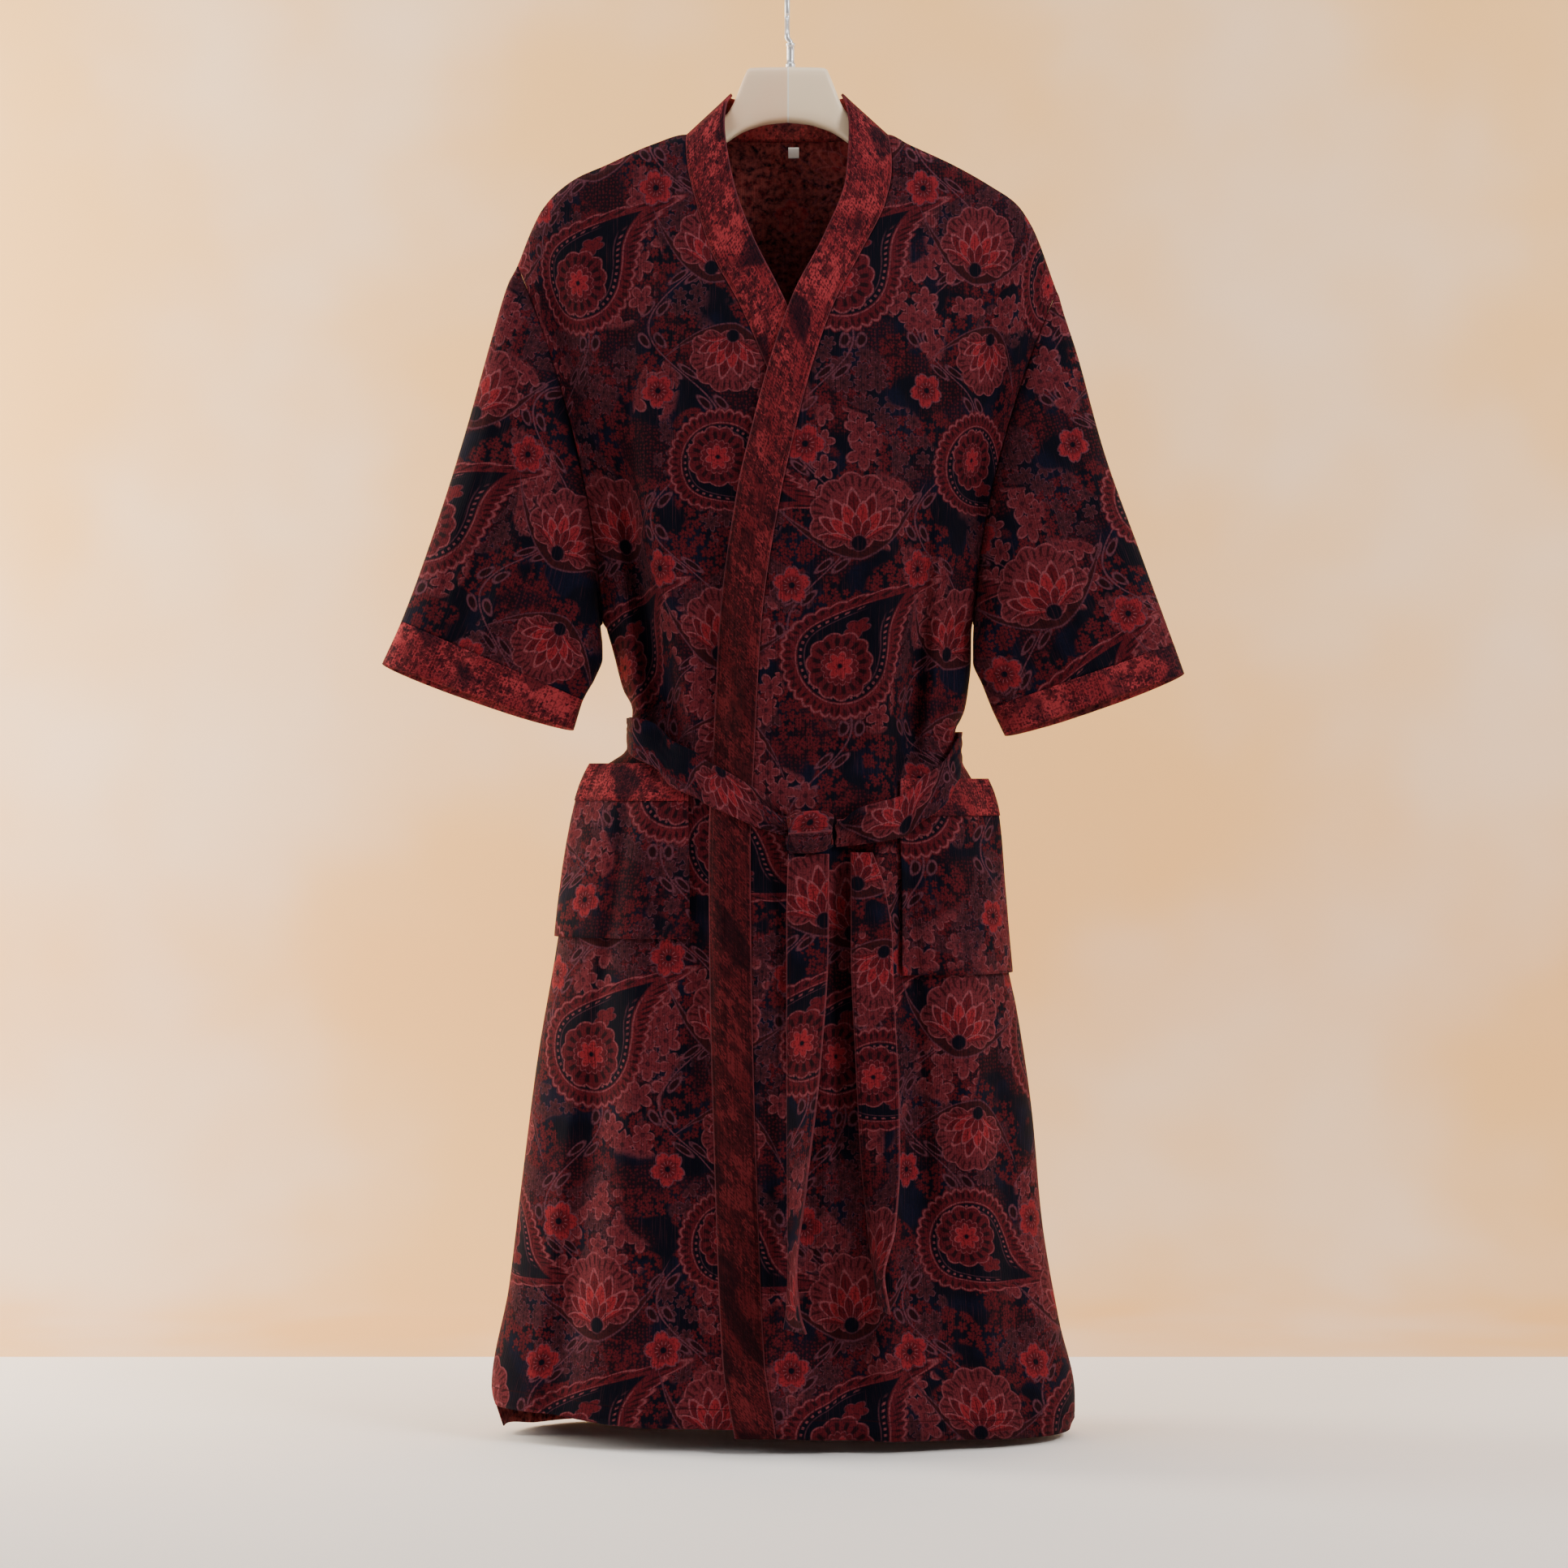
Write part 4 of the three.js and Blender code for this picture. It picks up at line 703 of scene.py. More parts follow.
HANGER = table(
    "out top under half",
    (0, -70, -119, 15), (18, -70, -121, 13.4), (35, -70.5, -126, 11.8), (42, -84, -129, 11.2),
    (50, -104, -134, 9.6), (57, -114, -139, 8), (78, -127, -150, 6), (100, -141, -163, 5),
    (145, -162, -186, 5), (190, -186.5, -206, 4.4), (206, -200, -212, 3.4), (211, -205.5, -211.5, 2.6),
)
HANGER_TIP = 211
HANGER_END = 4
HANGER_SQUARE = 0.42


def hanger_surface(u, v):
    """The hanger's arms and block: rounded sections from tip to tip."""
    x = mix(-HANGER_TIP, HANGER_TIP, v)
    angle = FULL_TURN * u
    top = reader(HANGER, "top")(np.abs(x))
    under = reader(HANGER, "under")(np.abs(x))
    half = reader(HANGER, "half")(np.abs(x))
    into_end = np.clip((np.abs(x) - (HANGER_TIP - HANGER_END)) / HANGER_END, 0, 1)
    closed = np.sqrt(np.clip(1 - into_end**2, 0, 1))
    y = half * squared_off(np.cos(angle), HANGER_SQUARE) * closed
    z = (top + under) / 2 + (top - under) / 2 * squared_off(np.sin(angle), HANGER_SQUARE) * closed
    return np.stack([x, y, z], -1)


HOOK_WIRE_R = 2.5
HOOK_INNER_R = 18
HOOK_SHANK_X = 3
HOOK_FOOT_Z = -46.7
HOOK_SHANK_SHARE = 0.34
HOOK_SWEEP = math.pi * 1.12
HOOK_STEP = 0.004
HOOK_TIP_SHARE = 0.02


def hook_line(t):
    """The middle of the wire: a shank that steps over to the centre line, then the crook."""
    reach = HOOK_INNER_R + HOOK_WIRE_R
    s = np.clip(t / HOOK_SHANK_SHARE, 0, 1)
    x = HOOK_SHANK_X * (1 - smooth(0, 0.2, s))
    shank = np.stack([x, reach * smooth(0.2, 1, s), mix(HOOK_FOOT_Z, -HOOK_INNER_R, s)], -1)
    angle = np.clip((t - HOOK_SHANK_SHARE) / (1 - HOOK_SHANK_SHARE), 0, 1) * HOOK_SWEEP
    crook = np.stack([0 * t, reach * np.cos(angle), -HOOK_INNER_R + reach * np.sin(angle)], -1)
    return np.where((t < HOOK_SHANK_SHARE)[..., None], shank, crook)


def hook_surface(u, v):
    """The wire round its line, with a rounded tip."""
    here = hook_line(v)
    way = unit(hook_line(np.minimum(v + HOOK_STEP, 1)) - hook_line(np.maximum(v - HOOK_STEP, 0)))
    side = unit(np.array([1.0, 0, 0]) - way * way[..., :1])
    up = np.cross(way, side)
    angle = (FULL_TURN * u)[..., None]
    radius = (HOOK_WIRE_R * np.sqrt(np.clip((1 - v) / HOOK_TIP_SHARE, 0, 1)))[..., None]
    return here + radius * (side * np.cos(angle) + up * np.sin(angle))


# The ferrule's outline: radius and height.
FERRULE = (
    (0, -69.7), (4.6, -69.7), (4.6, -66), (3.6, -65), (3.6, -50), (4.2, -49.4), (4.2, -47), (2.4, -46.6),
)


def ferrule_surface(u, v):
    """The turned sleeve that holds the hook in the hanger's block."""
    stops = np.linspace(0, 1, len(FERRULE))
    radius = np.interp(v, stops, [r for r, _ in FERRULE])
    z = np.interp(v, stops, [z for _, z in FERRULE])
    angle = FULL_TURN * u
    return np.stack([HOOK_SHANK_X + radius * np.cos(angle), radius * np.sin(angle), z], -1)


# ---------------------------------------------------------------- pieces


def runs(net, axis):
    """Distance along the rows of a net of points (axis 1), or down its columns (axis 0)."""
    steps = np.linalg.norm(np.diff(net, axis=axis), axis=-1)
    start = np.zeros_like(net[:, :1, 0]) if axis else np.zeros_like(net[:1, :, 0])
    return np.concatenate([start, np.cumsum(steps, axis=axis)], axis=axis)


def add_object(name, data):
    obj = bpy.data.objects.new(name, data)
    bpy.context.scene.collection.objects.link(obj)
    return obj


def add_mesh(name, bm):
    mesh = bpy.data.meshes.new(name)
    bm.to_mesh(mesh)
    bm.free()
    return add_object(name, mesh)


def write_measures(bm, order, net, measure):
    """Writes the cloth's own measures as its UV, and its distances from its edges, in metres."""
    across, down = measure(net)
    run = runs(net, 1)
    fall = runs(net, 0)
    values = {
        "across": across + 0 * run,
        "down": down + 0 * run,
        "rim_u": np.minimum(run, run[:, -1:] - run),
        "rim_v": fall[-1:] - fall,
    }
    spread = {key: np.zeros(order.size) for key in values}
    for key, value in values.items():
        spread[key][order] = value
    layer = bm.loops.layers.uv.new("cloth")
    for face in bm.faces:
        face.smooth = True
        for loop in face.loops:
            k = loop.vert.index
            loop[layer].uv = (spread["across"][k], spread["down"][k])
    rims = {key: bm.verts.layers.float.new(key) for key in ("rim_u", "rim_v")}
    for k, vert in enumerate(bm.verts):
        for key, rim in rims.items():
            vert[rim] = spread[key][k]


def cloth_wall(name, rows, columns, place, measure, outward=None):
    """A wall of cloth: a flat grid moved to place(u, v). With no way outward it is closed all round."""
    wrap = outward is None
    bm = bmesh.new()
    bmesh.ops.create_grid(bm, x_segments=columns, y_segments=rows, size=0.5)
    bm.verts.ensure_lookup_table()
    flat = np.array([vert.co[:2] for vert in bm.verts])
    order = np.lexsort((flat[:, 0], -flat[:, 1])).reshape(rows + 1, columns + 1)
    points = place(np.clip(flat[:, 0] + 0.5, 0, 1), np.clip(0.5 - flat[:, 1], 0, 1)) * MM
    for vert, point in zip(bm.verts, points):
        vert.co = point
    net = points[order]
    write_measures(bm, order, net, measure)
    turn_outward(bm, net, wrap, outward)
    if wrap:
        bmesh.ops.remove_doubles(bm, verts=bm.verts, dist=1e-5)
    return add_mesh(name, bm)


def turn_outward(bm, net, wrap, outward):
    """Turns the faces over if they look into the robe, not out of it."""
    bm.normal_update()
    facing = 0.0
    rings = net.mean(axis=1)
    heights = rings[:, 2]
    for face in bm.faces:
        middle = face.calc_center_median()
        if wrap:
            if abs(heights[-1] - heights[0]) > abs(rings[-1, 0] - rings[0, 0]):
                ring = rings[int(np.argmin(np.abs(heights - middle.z)))]
            else:
                ring = rings[int(np.argmin(np.abs(rings[:, 0] - middle.x)))]
            facing += float(np.dot(face.normal, np.array(middle) - ring)) * face.calc_area()
        else:
            facing += float(np.dot(face.normal, outward)) * face.calc_area()
    if facing < 0:
        bmesh.ops.reverse_faces(bm, faces=bm.faces)


def thicken(obj, thickness):
    """Gives the wall its cloth on the inside, with the reverse of the cloth as its second material."""
    modifier = obj.modifiers.new("cloth", "SOLIDIFY")
    modifier.thickness = thickness * MM
    modifier.offset = -1
    modifier.use_rim = True
    modifier.material_offset = 1
    modifier.material_offset_rim = 0


def dress(obj, node, materials):
    """Joins a piece to the robe's body, in place of its solid, with its finish."""
    for material in materials:
        obj.data.materials.append(material)
    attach(obj, "root")
    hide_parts(node)
    return obj


# ---------------------------------------------------------------- numbers that vary over the cloth


def through(operation):
    """A method that puts a field, and what else it is given, through one operation of the nodes."""

    def method(self, *others):
        node = self.tree.nodes.new("ShaderNodeMath")
        node.operation = operation
        for slot, value in zip(node.inputs, (self, *others)):
            if isinstance(value, Field):
                self.tree.links.new(value.socket, slot)
            else:
                slot.default_value = value
        return Field(self.tree, node.outputs[0])

    return method


class Field:
    """A number that varies over a surface, kept as an output of its material's nodes."""

    __add__ = through("ADD")
    __radd__ = __add__
    __sub__ = through("SUBTRACT")
    __mul__ = through("MULTIPLY")
    __rmul__ = __mul__
    __truediv__ = through("DIVIDE")
    sin = through("SINE")
    cos = through("COSINE")
    abs = through("ABSOLUTE")
    sqrt = through("SQRT")
    power = through("POWER")
    angle_from = through("ARCTAN2")
    at_least = through("MAXIMUM")
    wrap = through("WRAP")

    def __init__(self, tree, socket):
        self.tree = tree
        self.socket = socket

    def squared(self):
        return self * self

    def wrapped(self, span):
        """The number in the repeat from -span / 2 to span / 2."""
        return self.wrap(span / 2, -span / 2)

    def rises(self, low, high, start=0.0, end=1.0):
        """Smoothly from start to end as the number goes from low to high."""
        node = self.tree.nodes.new("ShaderNodeMapRange")
        node.interpolation_type = "SMOOTHSTEP"
        self.tree.links.new(self.socket, node.inputs[0])
        for slot, value in zip(node.inputs[1:5], (low, high, start, end)):
            slot.default_value = value
        return Field(self.tree, node.outputs[0])

    def below(self, limit, soft):
        """1 below the limit and 0 above it, with a soft edge."""
        return self.rises(limit - soft, limit + soft, 1.0, 0.0)

    def near(self, middle, half, soft):
        """1 within half of middle, 0 outside, with a soft edge."""
        return (self - middle).abs().below(half, soft)


def linear(red, green, blue):
    """A colour from its screen values, 0 to 255."""

    def part(value):
        share = value / 255
        return share / 12.92 if share <= 0.04045 else ((share + 0.055) / 1.055) ** 2.4

    return (part(red), part(green), part(blue), 1.0)


class Dye:
    """The colour of a surface so far, with one print laid over another."""

    def __init__(self, tree, base=None, socket=None):
        self.tree = tree
        self.base = base
        self.socket = socket

    def lay(self, colour, where):
        """Lays a colour over what is there, as strongly as where says, from 0 to 1."""
        node = self.tree.nodes.new("ShaderNodeMix")
        node.data_type = "RGBA"
        node.clamp_factor = True
        self.tree.links.new(where.socket, node.inputs[0])
        if self.socket is None:
            node.inputs[6].default_value = self.base
        else:
            self.tree.links.new(self.socket, node.inputs[6])
        node.inputs[7].default_value = colour
        self.socket = node.outputs[2]


# ---------------------------------------------------------------- the print

NAVY = linear(6, 7, 19)
INDIGO = linear(13, 16, 38)
BRICK = linear(82, 19, 27)
RED = linear(124, 32, 40)
WINE = linear(32, 8, 14)
MAUVE = linear(86, 45, 57)
ROSE = linear(122, 60, 68)
BROWN = linear(46, 14, 18)
BAND_RED = linear(120, 35, 42)
BAND_BRIGHT = linear(156, 54, 60)
BAND_DARK = linear(56, 17, 24)
# Painted shade: the colour the long collar bands are darkened towards lower down.
BAND_PAINTED_SHADE = linear(26, 5, 7)
SLUB_SHADE = linear(8, 8, 13)
REVERSE = linear(176, 84, 80)
SHEEN = linear(214, 180, 184)
WALL_WARM = linear(242, 190, 120)

# Sizes of the print and the weave, in metres.
REPEAT_ACROSS = 0.250
REPEAT_DOWN = 0.352
SOFT = 0.0007
RIB_PITCH = 0.0021
STITCH_IN = 0.0034
HEM_STITCH = 0.018


def motif_frame(u, v, x, y, angle, flip):
    """Measures from the middle of a motif, along its own axes, in every repeat of the print."""
    dx = (u - x).wrapped(REPEAT_ACROSS)
    dy = (v - y).wrapped(REPEAT_DOWN)
    turn = math.radians(angle)
    along = dx * (math.cos(turn) * flip) + dy * (math.sin(turn) * flip)
    up = dy * math.cos(turn) - dx * math.sin(turn)
    return along, up


def polar(x, y):
    """The distance from a middle, and the angle from straight up."""
    return (x.squared() + y.squared()).sqrt(), x.angle_from(y)


def parts_of(tree, vector):
    split = tree.nodes.new("ShaderNodeSeparateXYZ")
    tree.links.new(vector, split.inputs[0])
    return [Field(tree, socket) for socket in split.outputs]


def colour_group(name, **inputs):
    """A new group of nodes that gives a colour: its tree, its start and its end."""
    tree = bpy.data.node_groups.new(name, "ShaderNodeTree")
    for socket, kind in inputs.items():
        tree.interface.new_socket(socket, in_out="INPUT", socket_type=f"NodeSocket{kind}")
    tree.interface.new_socket("Color", in_out="OUTPUT", socket_type="NodeSocketColor")
    return tree, tree.nodes.new("NodeGroupInput"), tree.nodes.new("NodeGroupOutput")


class Motif:
    """A motif kept as a group: it takes measures in its own size and the colour under it."""

    def __init__(self, name, draw):
        self.tree, start, end = colour_group(name, Along="Float", Up="Float", Under="Color")
        dye = Dye(self.tree, socket=start.outputs[2])
        draw(dye, Field(self.tree, start.outputs[0]), Field(self.tree, start.outputs[1]))
        self.tree.links.new(dye.socket, end.inputs[0])

    def stamp(self, dye, u, v, x, y, size, angle, flip):
        along, up = motif_frame(u, v, x, y, angle, flip)
        node = dye.tree.nodes.new("ShaderNodeGroup")
        node.node_tree = self.tree
        dye.tree.links.new((along * (1 / size)).socket, node.inputs[0])
        dye.tree.links.new((up * (1 / size)).socket, node.inputs[1])
        dye.tree.links.new(dye.socket, node.inputs[2])
        dye.socket = node.outputs[0]


def paisley(dye, along, up):
    """A curled drop with a scalloped rim, two beaded lines and a dark field, its bowl full of petals."""
    bent = along - up.at_least(0.0).squared() * 0.55
    radius, turn = polar(bent, up)
    drop = radius * (turn.abs() * -1 + 0.95).at_least(0.0).cos()
    away = turn.abs().rises(0.12, 0.4)
    rim = drop - (turn * 17).sin().abs() * 0.06
    dye.lay(BRICK, rim.below(1.02, 0.02) * 0.8)
    dye.lay(ROSE, rim.near(0.98, 0.02, 0.02) * 0.8)
    dye.lay(WINE, (turn * 51).sin().rises(-0.2, 0.5) * rim.near(0.88, 0.05, 0.02) * 0.9)
    dye.lay(ROSE, drop.near(0.79, 0.01, 0.014) * away * 0.75)
    dye.lay(NAVY, drop.below(0.765, 0.02))
    beads = (turn * 38).sin().rises(0.0, 0.6) * drop.near(0.71, 0.02, 0.016) * away
    dye.lay(ROSE, beads * 0.8)
    dye.lay(MAUVE, drop.near(0.645, 0.008, 0.014) * away * 0.7)
    sprig_radius, sprig_turn = polar(bent, up - 0.52)
    sprig = sprig_radius - (sprig_turn * 2.5).cos().abs() * 0.07
    dye.lay(BRICK, sprig.below(0.13, 0.02))
    dye.lay(MAUVE, sprig.near(0.13, 0.008, 0.012) * 0.7)
    low_radius, low_turn = polar(bent, up + 0.16)
    bowl = low_radius - (low_turn * 5.5).cos().abs() * 0.06
    dye.lay(BRICK, bowl.below(0.53, 0.02) * 0.85)
    dye.lay(ROSE, bowl.near(0.52, 0.012, 0.016) * 0.8)
    ring = low_radius - (low_turn * 8).cos().abs() * 0.05
    dye.lay(WINE, (low_turn * 16).cos().rises(-0.2, 0.6) * ring.near(0.36, 0.075, 0.03))
    dye.lay(ROSE, ring.near(0.275, 0.008, 0.014) * 0.7)
    petals = low_radius - (low_turn * 3.5).cos().abs() * 0.09
    dye.lay(RED, petals.below(0.15, 0.02))
    dye.lay(ROSE, petals.near(0.15, 0.01, 0.014) * 0.8)
    dye.lay(NAVY, low_radius.below(0.045, 0.02))


def fan(dye, turn, radius, step, shift, reach, spread, fill, edge):
    """A fan of pointed petals about a flower's foot, each with a lighter edge and a dark vein."""
    local = (turn + shift).wrapped(step).abs() * (2 / step)
    length = (turn.abs() * (-0.22 / spread) + 1.0) * reach
    petal = radius / length + local.power(1.5) * 0.34
    inside = turn.abs().below(spread, 0.03)
    dye.lay(edge, petal.below(1.0, 0.02) * inside)
    dye.lay(fill, petal.below(0.93, 0.03) * local.below(0.86, 0.08) * inside)
    dye.lay(WINE, local.below(0.07, 0.09) * petal.near(0.62, 0.2, 0.1) * inside * 0.6)


def lotus(dye, along, up):
    """An open flower from the side: three fans of petals before a scalloped shell, over two leaves."""
    leaf = (up + 0.6 + along.squared() * -0.42).abs() + along.abs() * 0.15
    dye.lay(MAUVE, leaf.below(0.25, 0.02) * 0.8)
    dye.lay(BROWN, leaf.below(0.21, 0.02))
    dye.lay(MAUVE, leaf.below(0.012, 0.012) * 0.6)
    radius, turn = polar(along, up)
    shell = radius - (turn * 5.5).cos().abs() * 0.1 + turn.abs().rises(1.7, 2.8) * 0.35
    dye.lay(ROSE, shell.below(0.88, 0.015) * 0.8)
    dye.lay(BRICK, shell.below(0.85, 0.02) * 0.75)
    dye.lay(WINE, (turn * 33).sin().rises(0.1, 0.8) * shell.near(0.72, 0.1, 0.04) * 0.75)
    foot_radius, foot_turn = polar(along, up + 0.5)
    fan(dye, foot_turn, foot_radius, 0.44, 0.0, 1.16, 1.3, BRICK, ROSE)
    fan(dye, foot_turn, foot_radius, 0.5, 0.25, 0.92, 1.15, RED, ROSE)
    fan(dye, foot_turn, foot_radius, 0.56, 0.0, 0.62, 0.95, BRICK, ROSE)
    dye.lay(NAVY, foot_radius.below(0.16, 0.03))
    dye.lay(MAUVE, foot_radius.near(0.17, 0.01, 0.015) * 0.6)


def blossom(dye, along, up):
    """A round flower with five notched petals and a ring of stamens."""
    radius, turn = polar(along, up)
    flower = radius - (turn * 2.5).cos().abs() * 0.3 + (turn * 5).cos().rises(0.9, 1.0) * 0.08
    dye.lay(MAUVE, flower.below(0.68, 0.03))
    dye.lay(RED, flower.below(0.6, 0.05))
    dye.lay(BRICK, radius.below(0.52, 0.16))
    dye.lay(ROSE, (turn * 12).cos().rises(0.4, 0.9) * radius.near(0.34, 0.08, 0.04) * 0.8)
    dye.lay(NAVY, radius.below(0.15, 0.04))


def scattered(tree, vector, scale, randomness):
    """Cells scattered over the cloth."""
    cells = tree.nodes.new("ShaderNodeTexVoronoi")
    cells.voronoi_dimensions = "2D"
    cells.inputs["Scale"].default_value = scale
    cells.inputs["Randomness"].default_value = randomness
    tree.links.new(vector, cells.inputs["Vector"])
    return cells


def sprigs(dye, vector, scale, petals, reach, fill, edge, where):
    """Small flowers scattered over the ground, each turned its own way and of its own size."""
    tree = dye.tree
    cells = scattered(tree, vector, scale, 0.8)
    gap = tree.nodes.new("ShaderNodeVectorMath")
    gap.operation = "SUBTRACT"
    tree.links.new(vector, gap.inputs[0])
    tree.links.new(cells.outputs["Position"], gap.inputs[1])
    gap_x, gap_y, _ = parts_of(tree, gap.outputs[0])
    chance = tree.nodes.new("ShaderNodeSeparateColor")
    tree.links.new(cells.outputs["Color"], chance.inputs[0])
    spin = Field(tree, chance.outputs[0]) * FULL_TURN
    grown = Field(tree, chance.outputs[1]) * 0.5 + 0.75
    radius, turn = polar(gap_x, gap_y)
    shape = radius / (grown * reach) - ((turn + spin) * (petals / 2)).cos().abs() * 0.5
    soft = SOFT / reach
    dye.lay(edge, shape.below(0.5, soft) * where)
    dye.lay(fill, shape.below(0.36, soft) * where)
    dye.lay(NAVY, radius.below(reach * 0.16, SOFT * 0.7) * where * 0.8)


def seeds(dye, vector, scale, colour, where):
    """Fine round dots packed close, as in the filling of the larger shapes."""
    cells = scattered(dye.tree, vector, scale, 0.55)
    dye.lay(colour, Field(dye.tree, cells.outputs["Distance"]).below(0.3, 0.1) * where)


def scroll(dye, u, v, x, swing, phase, colour):
    """A thin stem that swings down the cloth, with curled leaves on it."""
    wave = (v * (FULL_TURN / REPEAT_DOWN * 2) + phase).sin() * swing
    off = (u - x - wave).wrapped(REPEAT_ACROSS)
    dye.lay(colour, off.abs().below(0.0009, SOFT))
    step = REPEAT_DOWN / 12
    beat = (v + phase * 0.01).wrapped(step)
    side = (off.abs() - 0.0075 - beat.squared() * 6).squared() + (beat * 0.7).squared()
    ring = side.sqrt()
    dye.lay(colour, ring.below(0.0052, SOFT))
    dye.lay(WINE, ring.below(0.0034, SOFT))


def noise(tree, vector, scale, detail=2.0, rough=0.5):
    node = tree.nodes.new("ShaderNodeTexNoise")
    node.inputs["Scale"].default_value = scale
    node.inputs["Detail"].default_value = detail
    node.inputs["Roughness"].default_value = rough
    tree.links.new(vector, node.inputs["Vector"])
    return Field(tree, node.outputs["Fac"])


def patches(dye, vector, scale, low, high, share, detail=1.0):
    """Soft-edged patches over the cloth, as strong as their share."""
    return noise(dye.tree, vector, scale, detail).rises(low, high) * share


def stretched(tree, vector, across, down):
    """The cloth's measures, scaled along each way."""
    node = tree.nodes.new("ShaderNodeMapping")
    node.inputs["Scale"].default_value = (across, down, 1)
    tree.links.new(vector, node.inputs["Vector"])
    return node.outputs["Vector"]


def print_group(name, draw):
    """A print as a group, from the cloth's measures to its colour."""
    tree, start, end = colour_group(name, Cloth="Vector")
    u, v, _ = parts_of(tree, start.outputs[0])
    dye = draw(tree, start.outputs[0], u, v)
    tree.links.new(dye.socket, end.inputs[0])
    return tree


PAISLEY = Motif("paisley", paisley)
LOTUS = Motif("lotus", lotus)
BLOSSOM = Motif("blossom", blossom)
# The large motifs of one repeat: across, down, size, angle and hand.
LAYOUT = (
    (PAISLEY, 0.050, 0.088, 0.054, -12, 1), (PAISLEY, 0.190, 0.262, 0.048, -152, -1),
    (LOTUS, 0.062, 0.212, 0.044, 8, 1), (LOTUS, 0.186, 0.112, 0.042, -14, 1),
    (LOTUS, 0.196, 0.010, 0.036, 165, 1), (BLOSSOM, 0.128, 0.168, 0.0190, 12, 1),
    (BLOSSOM, 0.016, 0.280, 0.0200, -20, 1), (BLOSSOM, 0.130, 0.330, 0.0175, 30, 1),
    (BLOSSOM, 0.004, 0.152, 0.0185, 0, 1),
)


def paisley_print(tree, vector, u, v):
    """The robe's print: paisleys, open flowers and scrolls over a dark ground full of small flowers."""
    dye = Dye(tree, NAVY)
    dye.lay(INDIGO, patches(dye, vector, 26, 0.45, 0.65, 0.6))
    crowd = noise(tree, vector, 15, 1.0).rises(0.49, 0.56)
    dye.lay(WINE, crowd * 0.6)
    seeds(dye, vector, 290, BRICK, crowd * 0.5)
    sprigs(dye, vector, 120, 5, 0.0050, BRICK, BROWN, patches(dye, vector, 20, 0.46, 0.5, 0.85))
    sprigs(dye, vector, 66, 6, 0.0088, BROWN, MAUVE, patches(dye, vector, 12, 0.53, 0.56, 0.75))
    scroll(dye, u, v, 0.030, 0.030, 0.6, MAUVE)
    scroll(dye, u, v, 0.155, 0.034, 3.4, MAUVE)
    sprigs(dye, vector, 40, 5, 0.0140, BRICK, ROSE, patches(dye, vector, 9, 0.55, 0.58, 0.75))
    for motif, x, y, size, angle, flip in LAYOUT:
        motif.stamp(dye, u, v, x, y, size, angle, flip)
    return dye


def border_print(tree, vector, u, v):
    """The bands' print: brick red, flecked dark, with small flowers and darker patches."""
    dye = Dye(tree, BAND_RED)
    dye.lay(BAND_BRIGHT, patches(dye, vector, 22, 0.44, 0.6, 0.8))
    dye.lay(BAND_DARK, patches(dye, vector, 34, 0.52, 0.6, 0.75, 2.0))
    sprigs(dye, vector, 95, 5, 0.0066, BAND_DARK, BAND_BRIGHT, patches(dye, vector, 28, 0.42, 0.48, 0.8))
    seeds(dye, vector, 330, BAND_DARK, patches(dye, vector, 40, 0.4, 0.5, 0.75))
    dye.lay(NAVY, patches(dye, vector, 210, 0.6, 0.66, 0.7))
    dye.lay(NAVY, patches(dye, vector, 17, 0.6, 0.64, 0.7))
    return dye


def attribute(tree, name):
    node = tree.nodes.new("ShaderNodeAttribute")
    node.attribute_name = name
    return Field(tree, node.outputs["Fac"])


CLOTH_FINISH = {
    "Roughness": 0.82, "Specular IOR Level": 0.06, "Sheen Weight": 0.03, "Sheen Roughness": 0.45,
    "Sheen Tint": SHEEN,
}


def new_material(name):
    """A new material, its tree and its shader."""
    material = bpy.data.materials.new(name)
    material.use_nodes = True
    return material, material.node_tree, material.node_tree.nodes["Principled BSDF"]


def add_relief(tree, shader, height):
    """Raises the threads and sinks the stitches."""
    bump = tree.nodes.new("ShaderNodeBump")
    bump.inputs["Strength"].default_value = 0.35
    bump.inputs["Distance"].default_value = 0.0004
    tree.links.new(height.socket, bump.inputs["Height"])
    tree.links.new(bump.outputs[0], shader.inputs["Normal"])


